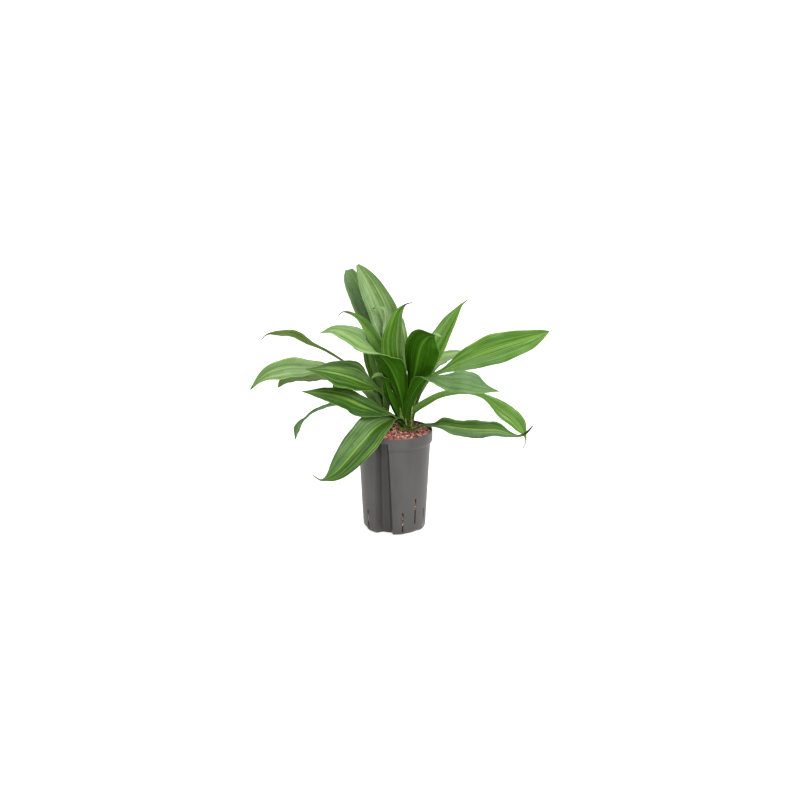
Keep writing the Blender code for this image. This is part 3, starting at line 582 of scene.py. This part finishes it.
# dark, ground, light and bloom_and_sheen colours (grey wax bloom and painted sheen), the stripes' and the rib's
# share, roughness, shine
LEAF_FINISHES = {
    "pale": ("345419", "4E6E2A", "84A058", "6F855C", 0.8, 0.3, 0.42, 0.25),
    "dusty": ("2C4A15", "3C5E20", "648444", "5E7852", 0.5, 0.25, 0.42, 0.25),
    "fresh": ("2A5204", "3C620A", "6E9034", "668050", 0.75, 0.4, 0.42, 0.2),
    "deep": ("183603", "274A04", "66862C", "5C7652", 0.6, 0.7, 0.38, 0.2),
    "olive": ("243A04", "344E06", "5A7022", "5A6A40", 0.5, 0.2, 0.44, 0.15),
    # undersides: no wax and matt; their colours are darkened as painted shade
    "shaded_underside": ("1A3A01", "244A01", "44701A", "244A01", 0.35, 0.8, 0.6, 0.05),
    "shaded_olive_underside": ("2E4A04", "3C5E06", "627E22", "3C5E06", 0.6, 0.5, 0.6, 0.08),
}


def make_leaf_finishes():
    finishes = {}
    for name, values in LEAF_FINISHES.items():
        finishes[name] = leaf_material("leaf_" + name, *values)
    return finishes


# Leaves

def half_widths(leaf, s, length):
    """The blade's half widths left and right of the midrib at these shares of its length."""
    knots = [(share * length, left, right) for share, left, right in leaf.spread]
    edge, _ = smooth_path(knots, 400)
    return np.interp(s * length, edge[:, 0], edge[:, 1]), np.interp(s * length, edge[:, 0], edge[:, 2])


def blade_places(leaf, number):
    """The blade's middle surface as rows of points from stem to tip, and its length."""
    rib, length = smooth_path(leaf.path, BLADE_ROWS)
    s = np.linspace(0, 1, BLADE_ROWS + 1)
    along = unit(np.gradient(rib, axis=0))
    keys = np.linspace(0, 1, len(leaf.facing))
    face = unit(np.stack([np.interp(s, keys, [f[k] for f in leaf.facing]) for k in range(3)], -1))
    normal = unit(face - (face * along).sum(1, keepdims=True) * along)
    side = np.cross(along, normal)
    left, right = half_widths(leaf, s, length)
    fold = np.radians(np.interp(s, np.linspace(0, 1, len(leaf.fold)), leaf.fold))
    wavelength = EDGE_WAVELENGTH + 16 * (0.618 * number % 1.0)
    turns = 2 * np.pi * s * length
    places = np.zeros((BLADE_ROWS + 1, BLADE_COLUMNS + 1, 3))
    for column, v in enumerate(np.linspace(-1, 1, BLADE_COLUMNS + 1)):
        half = left if v < 0 else right
        broad = half / half.max()
        phase = 2.4 * number + (1.3 if v > 0 else 0.0)
        ripple = leaf.wave * broad * np.sin(turns / wavelength + phase) * v**2
        crinkle = 0.5 * broad * np.sin(turns / 17.0 + 5.0 * v + 1.7 * number) * v**4
        soft_v = (math.sqrt(v * v + 0.01) - 0.1) / (math.sqrt(1.01) - 0.1)
        bow = 0.10 * math.sin(math.pi * abs(v))
        across = half * v * np.cos(fold)
        raised = half * (soft_v + bow) * np.sin(fold) + ripple + crinkle
        places[:, column] = rib + side * across[:, None] + normal * raised[:, None]
    return places, length


def eased(value, low, high):
    """0 below low, 1 above high, and a soft rise between."""
    t = np.clip((value - low) / (high - low), 0, 1)
    return t * t * (3 - 2 * t)


def end_share(s, length_share):
    """1 over this share of the length at the tip, 0 before it."""
    if length_share == 0:
        return np.zeros_like(s)
    return eased(s, 1 - 1.3 * length_share, 1 - 0.8 * length_share)


def make_leaf(leaf, number, shoot, finishes):
    """One leaf as a thin two-sided sheet, with its veins' direction kept in its UV maps."""
    places, length = blade_places(leaf, number)
    piece, row, column = shaped_grid(leaf.name, places)
    widest = max(left + right for _, left, right in leaf.spread)
    blade = np.empty(len(piece.data.loops) * 2)
    piece.data.uv_layers["blade"].data.foreach_get("uv", blade)
    blade = blade.reshape(-1, 2)
    grain = piece.data.uv_layers.new(name="grain")
    grain_places = np.stack([(blade[:, 0] - 0.5) * widest, blade[:, 1] * length + 400.0 * number], -1)
    grain.data.foreach_set("uv", grain_places.ravel())
    s = row / BLADE_ROWS
    v = 2.0 * column / BLADE_COLUMNS - 1.0
    # each half's grey: real wax bloom plus painted sheen, more on the half that catches the light
    left_bloom_and_sheen, right_bloom_and_sheen = leaf.bloom_and_sheen
    set_attribute(piece, "bloom_and_sheen", left_bloom_and_sheen + (right_bloom_and_sheen - left_bloom_and_sheen) * eased(v, -0.1, 0.1))
    set_attribute(piece, "dark_end", end_share(s, leaf.dark_end))
    set_attribute(piece, "dry_end", end_share(s, leaf.dry_end))
    piece.data.materials.append(finishes[leaf.upper])
    piece.data.materials.append(finishes[leaf.under])
    apply_modifier(piece, "SOLIDIFY", thickness=BLADE_THICKNESS * MM, offset=0.0,
                   material_offset=1, material_offset_rim=0)
    smooth(piece, 50.0)
    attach(piece, "root")
    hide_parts(shoot)
    return piece


# Stems

def stem_material():
    """Young stem: smooth green skin with pale scars where old leaves sat."""
    material, tree, shader = new_material("green_stem_skin")
    place = add_node(tree, "ShaderNodeTexCoord")
    rings_at = add_node(tree, "ShaderNodeMapping", None, {0: place.outputs["Object"], 3: (60.0, 60.0, 260.0)})
    rings = add_node(tree, "ShaderNodeTexNoise", None,
                     {"Vector": rings_at.outputs[0], "Scale": 1.0, "Detail": 3.0})
    colour = blend_colours(tree, stretch(tree, rings.outputs[0], 0.4, 0.62), linear("3E5A14"), linear("7F9438"))
    tree.links.new(colour, shader.inputs["Base Color"])
    shader.inputs["Roughness"].default_value = 0.5
    bump = add_node(tree, "ShaderNodeBump", None, {"Height": rings.outputs[0], "Strength": 0.5, "Distance": 0.0008})
    tree.links.new(bump.outputs[0], shader.inputs["Normal"])
    return material


def make_stem(shoot, line, material):
    """A round stem with faint rings where leaves are set on it."""
    rows = 60
    columns = 24
    keys = np.linspace(0, 1, len(line))
    s = np.linspace(0, 1, rows + 1)
    middle = np.stack([np.interp(s, keys, [p[k] for p in line]) for k in range(3)], -1)
    radius = np.interp(s, keys, [p[3] for p in line])
    radius = radius * (1.0 + 0.05 * np.maximum(np.sin(middle[:, 2] / 1.6), 0.0) ** 4) - 0.2
    angle = np.linspace(0, 2 * math.pi, columns + 1)
    places = np.zeros((rows + 1, columns + 1, 3))
    places[:, :, 0] = middle[:, 0:1] + radius[:, None] * np.cos(angle)
    places[:, :, 1] = middle[:, 1:2] + radius[:, None] * np.sin(angle)
    places[:, :, 2] = middle[:, 2:3]
    piece, _, _ = shaped_grid(shoot.replace("shoot", "stem"), places)
    close_tube(piece)
    piece.data.materials.append(material)
    smooth(piece)
    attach(piece, "root")
    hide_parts(shoot)


# Pot

def flute_depth(step):
    """How deep the groove is at a share of its half width, from 0 at its edge to 1 on its floor."""
    steps = (0.0, 0.3, 0.45, 0.62, 0.75, 0.88, 0.96, 1.0)
    depths = (1.0, 1.0, 0.985, 0.93, 0.72, 0.4, 0.12, 0.0)
    return float(np.interp(abs(step), steps, depths))


def ring_columns():
    """For each corner of a ring: its flute, its step in it, its depth, and its place in the lobe."""
    steps_in_flute = 24
    steps_in_lobe = 30
    columns = []
    for flute in range(FLUTE_COUNT):
        for k in range(steps_in_flute + 1):
            step = -1.0 + 2.0 * k / steps_in_flute
            columns.append((flute, step, flute_depth(step), None))
        for k in range(1, steps_in_lobe):
            columns.append((flute, None, 0.0, k / steps_in_lobe))
    return columns


COLUMNS = ring_columns()


def body_radius(z):
    """Outer radius of the tapered body."""
    return BODY_BOTTOM_RADIUS + (BODY_TOP_RADIUS - BODY_BOTTOM_RADIUS) * z / (POT_HEIGHT - COLLAR_HEIGHT)


def moved_inwards(outline, distance):
    """A closed flat outline with every side moved inwards by the same distance."""
    before = outline - np.roll(outline, 1, axis=0)
    after = np.roll(outline, -1, axis=0) - outline
    first = unit(np.stack([-before[:, 1], before[:, 0]], -1))
    second = unit(np.stack([-after[:, 1], after[:, 0]], -1))
    spread = np.maximum(1.0 + (first * second).sum(1, keepdims=True), 0.5)
    return outline + (first + second) * distance / spread


def ring(z, radius, fluted, inset=0.0, edge_lift=0.0):
    """Corners of one ring; inset moves it inwards from the outer face."""
    part_up = min(max(z / (POT_HEIGHT - RIM_BAND), 0.0), 1.0)
    half = FLUTE_HALF_ANGLE_BOTTOM + (FLUTE_HALF_ANGLE_TOP - FLUTE_HALF_ANGLE_BOTTOM) * part_up
    flute_floor = FLUTE_FLOOR_BOTTOM + (FLUTE_FLOOR_TOP - FLUTE_FLOOR_BOTTOM) * part_up
    pitch = 2 * math.pi / FLUTE_COUNT
    outline = []
    lifts = []
    for flute, step, depth, lobe in COLUMNS:
        angle = FRONT_FLUTE + flute * pitch
        if lobe is None:
            angle += step * half
        else:
            angle += half + (pitch - 2 * half) * lobe
        reach = radius + (flute_floor - radius) * depth * (1.0 if fluted else 0.0)
        outline.append((reach * math.cos(angle), reach * math.sin(angle)))
        raised = 0.0 if lobe is None else min(max((0.5 - abs(lobe - 0.5) - 0.26) / 0.06, 0.0), 1.0)
        lifts.append(edge_lift * raised)
    outline = np.array(outline)
    if inset:
        outline = moved_inwards(outline, inset)
    corners = np.column_stack([outline, z + np.array(lifts)])
    return np.concatenate([corners, corners[:1]])


def pot_material():
    """Moulded recycled polypropylene: dull dark grey, faint cloudy flow marks and a fine matt grain."""
    material, tree, shader = new_material("moulded_recycled_polypropylene")
    place = add_node(tree, "ShaderNodeTexCoord")
    flow_at = add_node(tree, "ShaderNodeMapping", None, {0: place.outputs["Object"], 3: (22.0, 22.0, 9.0)})
    flow = add_node(tree, "ShaderNodeTexNoise", None, {"Vector": flow_at.outputs[0], "Scale": 1.0, "Detail": 4.0})
    grain = add_node(tree, "ShaderNodeTexNoise", None,
                     {"Vector": place.outputs["Object"], "Scale": 900.0, "Detail": 2.0})
    colour = blend_colours(tree, stretch(tree, flow.outputs[0], 0.3, 0.7), linear("373635"), linear("42403E"))
    speck = stretch(tree, grain.outputs[0], 0.6, 0.8, 0.0, 0.25)
    colour = blend_colours(tree, speck, colour, linear("66635F"))
    tree.links.new(colour, shader.inputs["Base Color"])
    gloss = stretch(tree, flow.outputs[0], 0.3, 0.7, 0.42, 0.52, "LINEAR")
    tree.links.new(gloss, shader.inputs["Roughness"])
    bump = add_node(tree, "ShaderNodeBump", None, {"Height": grain.outputs[0], "Strength": 0.25, "Distance": 0.0002})
    tree.links.new(bump.outputs[0], shader.inputs["Normal"])
    shader.inputs["Specular IOR Level"].default_value = 0.3
    return material


def cut_slot(pot, angle, span):
    """One upright drainage slot with rounded ends through the wall."""
    low, high = span
    middle = (low + high) / 2
    reach = body_radius(middle)
    deselect_all()
    bpy.ops.mesh.primitive_cube_add(size=1.0)
    cutter = bpy.context.object
    cutter.scale = (16.0 * MM, SLOT_WIDTH * MM, (high - low) * MM)
    cutter.rotation_euler = (0, 0, angle)
    cutter.location = (reach * math.cos(angle) * MM, reach * math.sin(angle) * MM, middle * MM)
    make_active(cutter)
    bpy.ops.object.transform_apply(location=True, rotation=True, scale=True)
    apply_modifier(cutter, "BEVEL", width=1.0 * MM, segments=3)
    apply_modifier(pot, "BOOLEAN", operation="DIFFERENCE", solver="EXACT", object=cutter)
    bpy.data.objects.remove(cutter, do_unlink=True)


def make_pot():
    """The culture pot, its wall one skin from the foot over the rim to the inner floor."""
    rim = POT_HEIGHT
    band = rim - RIM_BAND
    collar = rim - COLLAR_HEIGHT
    under = collar - COLLAR_SLOPE
    low = BODY_BOTTOM_RADIUS
    outside = [
        ring(0.0, low - CORNER - 1.5, True),
        ring(0.0, low - CORNER, True),
        ring(0.35, low - 0.7 * CORNER, True, edge_lift=FOOT_HEIGHT),
        ring(1.2, low - 0.4 * CORNER, True, edge_lift=FOOT_HEIGHT),
        ring(2.4, low - 0.2 * CORNER, True, edge_lift=FOOT_HEIGHT),
        ring(4.0, low - 0.08 * CORNER, True, edge_lift=FOOT_HEIGHT),
        ring(6.5, low, True, edge_lift=0.5 * FOOT_HEIGHT),
        ring(CORNER + 1.0, body_radius(CORNER), True),
    ]
    for z in (20.0, 35.0, 50.0, 65.0, 80.0, 100.0, 120.0, 140.0, 158.0):
        outside.append(ring(z, body_radius(z), True))
    outside += [
        ring(under - 1.5, body_radius(under), True),
        ring(under - 0.3, body_radius(under) + 0.2, True),
        ring(under, body_radius(under) + 0.8, True),
        ring(under + 0.3, body_radius(under) + 1.6, True),
        ring(collar - 2.0, RIM_RADIUS - 1.4, True),
        ring(collar - 0.4, RIM_RADIUS - 0.3, True),
        ring(collar + 0.6, RIM_RADIUS, True),
        ring(band - 1.0, RIM_RADIUS, True),
        ring(band - 0.3, RIM_RADIUS, True),
        ring(band, RIM_RADIUS, False),
        ring(band + 0.8, RIM_RADIUS, False),
        ring(rim - 2.0, RIM_RADIUS, False),
        ring(rim - 0.9, RIM_RADIUS - 0.1, False),
        ring(rim - 0.25, RIM_RADIUS - 0.45, False),
        ring(rim, RIM_RADIUS - 0.9, False),
    ]
    inside = [
        ring(rim - 0.3, RIM_RADIUS, False, WALL - 0.4),
        ring(rim - 1.0, RIM_RADIUS, False, WALL),
        ring(band + WALL, RIM_RADIUS, False, WALL),
        ring(band + WALL - 0.5, RIM_RADIUS, True, WALL),
        ring(collar - 0.5, RIM_RADIUS, True, WALL),
        ring(under, body_radius(under), True, WALL),
        ring(120.0, body_radius(120.0), True, WALL),
        ring(60.0, body_radius(60.0), True, WALL),
        ring(CORNER + FLOOR, body_radius(CORNER), True, WALL),
        ring(4.0 + FLOOR, low - 1.0, True, WALL, FOOT_HEIGHT),
        ring(FLOOR, low - 1.1 * CORNER, True, WALL),
    ]
    pot, _, _ = shaped_grid("culture_pot", np.array(outside + inside))
    close_tube(pot)
    pitch = 2 * math.pi / FLUTE_COUNT
    for flute in range(FLUTE_COUNT):
        lobe_middle = FRONT_FLUTE + (flute + 0.5) * pitch
        for side, span in ((-1, SIDE_SLOT), (0, MIDDLE_SLOT), (1, SIDE_SLOT)):
            cut_slot(pot, lobe_middle + side * SLOT_ANGLE, span)
    pot.data.materials.append(pot_material())
    smooth(pot, 30.0)
    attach(pot, "root")
    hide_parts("pot")


# Clay filling

def clay_material(name, deepest, middle, lightest):
    """Fired expanded clay: rough brick-red grains, dusty and paler where they are worn."""
    material, tree, shader = new_material(name)
    place = add_node(tree, "ShaderNodeTexCoord")
    shade = add_node(tree, "ShaderNodeAttribute", {"attribute_name": "shade"})
    pits = add_node(tree, "ShaderNodeTexNoise", None,
                    {"Vector": place.outputs["Object"], "Scale": 700.0, "Detail": 3.0, "Roughness": 0.6})
    colour = blend_colours(tree, stretch(tree, shade.outputs["Fac"], 0.0, 0.6), linear(deepest), linear(middle))
    colour = blend_colours(tree, stretch(tree, shade.outputs["Fac"], 0.6, 1.0), colour, linear(lightest))
    pit_share = stretch(tree, pits.outputs[0], 0.5, 0.3, 0.0, 0.5)
    colour = blend_colours(tree, pit_share, colour, linear(deepest))
    tree.links.new(colour, shader.inputs["Base Color"])
    shader.inputs["Roughness"].default_value = 0.85
    bump = add_node(tree, "ShaderNodeBump", None, {"Height": pits.outputs[0], "Strength": 0.8, "Distance": 0.0006})
    tree.links.new(bump.outputs[0], shader.inputs["Normal"])
    return material


def clay_height(x, y):
    """Height of the filling's surface at a place."""
    wave = math.sin(0.83 * x + 1.7 * math.sin(0.31 * y)) * math.cos(0.77 * y - 1.3 * math.sin(0.37 * x))
    return CLAY_TOP + CLAY_BUMP * wave


def pebble_spots(rng):
    """Where the pebbles lie: rows set like bricks, each shifted a little, clear of wall and stems."""
    spots = []
    reach = RIM_RADIUS - WALL
    row = 0
    y = -reach
    while y < reach:
        x = -reach + (row % 2) * PEBBLE_SPACING / 2
        while x < reach:
            size = rng.uniform(*PEBBLE_SIZES)
            px = x + rng.normal(0, 0.8)
            py = y + rng.normal(0, 0.8)
            clear_of_wall = math.hypot(px, py) < reach - size / 2 - 0.4
            clear_of_stems = True
            for line in STEMS.values():
                if math.hypot(px - line[0][0], py - line[0][1]) < line[0][3] + 0.3 * size:
                    clear_of_stems = False
            if clear_of_wall and clear_of_stems:
                spots.append((px, py, size))
            x += PEBBLE_SPACING
        y += PEBBLE_SPACING * 0.87
        row += 1
    return spots


def make_pebbles():
    """The top layer of clay pebbles, each a dented ball turned its own way."""
    rng = np.random.default_rng(12)
    deselect_all()
    bpy.ops.mesh.primitive_ico_sphere_add(subdivisions=2, radius=0.5)
    ball = bpy.context.object
    template = np.array([vertex.co[:] for vertex in ball.data.vertices])
    template_faces = np.array([face.vertices[:] for face in ball.data.polygons])
    bpy.data.objects.remove(ball, do_unlink=True)
    points = []
    faces = []
    shades = []
    for x, y, size in pebble_spots(rng):
        bumps = np.zeros(len(template))
        for _ in range(5):
            direction = unit(rng.normal(size=3))
            bumps += 0.09 * np.cos(4.0 * template @ direction + rng.uniform(0, 6.28))
        shape = template * (1.0 + bumps[:, None]) * rng.uniform(0.75, 1.15, 3)
        turn, _ = np.linalg.qr(rng.normal(size=(3, 3)))
        if np.linalg.det(turn) < 0:
            turn[:, 0] = -turn[:, 0]
        sunk = rng.uniform(-0.1, 0.28)
        middle = np.array([x, y, clay_height(x, y) + size * sunk])
        faces.append(template_faces + len(points) * len(template))
        points.append(shape @ turn.T * size + middle)
        shades.append(np.full(len(template), rng.uniform()))
    mesh = bpy.data.meshes.new("clay_pebbles")
    mesh.from_pydata((np.concatenate(points) * MM).tolist(), [], np.concatenate(faces).tolist())
    pebbles = bpy.data.objects.new("clay_pebbles", mesh)
    bpy.context.collection.objects.link(pebbles)
    set_attribute(pebbles, "shade", np.concatenate(shades))
    mesh.materials.append(clay_material("fired_clay_pebbles", "5E2B22", "9A5A4E", "CB9A8C"))
    smooth(pebbles, 60.0)
    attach(pebbles, "root")


def finish_filling():
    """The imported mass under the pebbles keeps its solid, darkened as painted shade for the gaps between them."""
    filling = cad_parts["clay_granules"]
    filling.data.materials.clear()
    # very dark brick colours: painted shade in the gaps between pebbles
    filling.data.materials.append(clay_material("shaded_fired_clay_gaps", "2E130F", "4A201C", "6E3A30"))


# Roots

def root_material():
    """Old root: dry corky skin, straw to brown."""
    material, tree, shader = new_material("dry_root_skin")
    place = add_node(tree, "ShaderNodeTexCoord")
    cork = add_node(tree, "ShaderNodeTexNoise", None,
                    {"Vector": place.outputs["Object"], "Scale": 400.0, "Detail": 3.0})
    colour = blend_colours(tree, stretch(tree, cork.outputs[0], 0.35, 0.65), linear("7A5A40"), linear("CDB08A"))
    tree.links.new(colour, shader.inputs["Base Color"])
    shader.inputs["Roughness"].default_value = 0.8
    return material


def make_root(name, points, radius, material):
    """A thin root through these points, tapering to its end."""
    rows = 24
    columns = 8
    line, _ = smooth_path(points, rows)
    along = unit(np.gradient(line, axis=0))
    aside = unit(np.cross(along, np.array([0.31, 0.17, 0.93])))
    third = np.cross(along, aside)
    s = np.linspace(0, 1, rows + 1)
    thickness = radius * (1.0 - 0.6 * s)
    angle = np.linspace(0, 2 * math.pi, columns + 1)
    places = (line[:, None, :] + thickness[:, None, None]
              * (aside[:, None, :] * np.cos(angle)[None, :, None] + third[:, None, :] * np.sin(angle)[None, :, None]))
    piece, _, _ = shaped_grid(name, places)
    close_tube(piece)
    piece.data.materials.append(material)
    smooth(piece, 60.0)
    return piece


def make_roots():
    """Fine roots that show in the drainage slots, and root stubs among the pebbles by the stem."""
    material = root_material()
    rng = np.random.default_rng(5)
    pitch = 2 * math.pi / FLUTE_COUNT
    strands = []
    for flute in range(FLUTE_COUNT):
        lobe_middle = FRONT_FLUTE + (flute + 0.5) * pitch
        for side, span in ((-1, SIDE_SLOT), (0, MIDDLE_SLOT), (1, SIDE_SLOT)):
            angle = lobe_middle + side * SLOT_ANGLE
            for _ in range(4 if side == 0 else 3):
                z = rng.uniform(span[0] + 4, span[1] - 4)
                reach = body_radius(z) - WALL / 2
                sideways = np.array([-math.sin(angle), math.cos(angle), 0.0])
                outwards = np.array([math.cos(angle), math.sin(angle), 0.0])
                points = []
                for k in range(4):
                    drift = rng.uniform(-0.9, 0.9)
                    depth = reach + (0.6 if k in (1, 2) else -1.0)
                    points.append(outwards * depth + sideways * drift + np.array([0, 0, z + 3.0 * (k - 1.5)]))
                strands.append(make_root("root", points, rng.uniform(0.4, 0.7), material))
    roots = join(strands, "roots_in_slots")
    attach(roots, "root")
    stubs = [
        make_root("root", [(-6, 4, 201), (-3, 1, 197), (-1, -1, 193), (1, -3, 189)], 1.7, material),
        make_root("root", [(-1, 2, 199), (1, 0, 196), (3, -4, 193), (4, -8, 190)], 1.2, material),
        make_root("root", [(38, 18, 195), (42, 14, 196), (46, 10, 195), (50, 4, 192)], 1.6, material),
    ]
    stub = join(stubs, "root_stubs")
    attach(stub, "root")


# Studio

def add_area_light(name, place, size, power):
    """A soft square light that points at the plant."""
    light = bpy.data.lights.new(name, "AREA")
    light.shape = "SQUARE"
    light.size = size
    light.energy = power
    lamp = bpy.data.objects.new(name, light)
    bpy.context.collection.objects.link(lamp)
    aim = np.array(LOOKED_AT) - np.array(place)
    lamp.location = place
    heading = math.atan2(aim[1], aim[0])
    lamp.rotation_euler = (math.acos(-aim[2] / np.linalg.norm(aim)), 0.0, heading - math.pi / 2)


def make_studio():
    """A plain white floor in even white light, with the photograph's camera.

    The floor glows a little, so that the pot's shadow on it is as faint as in the photograph.
    """
    deselect_all()
    bpy.ops.mesh.primitive_plane_add(size=60.0, location=(0, 0, -0.0004))
    floor = bpy.context.object
    floor.name = "studio_floor"
    material, _, shader = new_material("matt_white_paint")
    shader.inputs["Base Color"].default_value = linear("BCBCBC")
    shader.inputs["Emission Color"].default_value = (1.0, 1.0, 1.0, 1.0)
    shader.inputs["Emission Strength"].default_value = 0.7
    shader.inputs["Roughness"].default_value = 0.9
    shader.inputs["Specular IOR Level"].default_value = 0.0
    floor.data.materials.append(material)

    world = bpy.data.worlds.new("studio")
    bpy.context.scene.world = world
    world.use_nodes = True
    sky = world.node_tree.nodes["Background"]
    sky.inputs["Color"].default_value = (1.0, 1.0, 1.0, 1.0)
    sky.inputs["Strength"].default_value = 1.25

    add_area_light("key_light", (1.6, -1.8, 2.6), 1.6, 115.0)
    add_area_light("top_light", (-0.4, 0.3, 3.0), 2.0, 40.0)

    camera = bpy.data.cameras.new("camera")
    camera.lens = LENS
    camera.sensor_width = 36.0
    camera.clip_end = 200.0
    viewer = bpy.data.objects.new("camera", camera)
    bpy.context.collection.objects.link(viewer)
    back = CAMERA_DISTANCE * math.cos(CAMERA_HEIGHT_ANGLE)
    up = CAMERA_DISTANCE * math.sin(CAMERA_HEIGHT_ANGLE)
    viewer.location = (LOOKED_AT[0], LOOKED_AT[1] - back, LOOKED_AT[2] + up)
    viewer.rotation_euler = (math.pi / 2 - CAMERA_HEIGHT_ANGLE, 0.0, 0.0)
    bpy.context.scene.camera = viewer
    bpy.context.scene.view_settings.view_transform = "Standard"


make_studio()
make_pot()
finish_filling()
make_pebbles()
make_roots()
green_skin = stem_material()
leaf_finishes = make_leaf_finishes()
leaf_number = 1
for shoot_name, shoot_leaves in LEAVES.items():
    make_stem(shoot_name, STEMS[shoot_name], green_skin)
    for shoot_leaf in shoot_leaves:
        make_leaf(shoot_leaf, leaf_number, shoot_name, leaf_finishes)
        leaf_number += 1
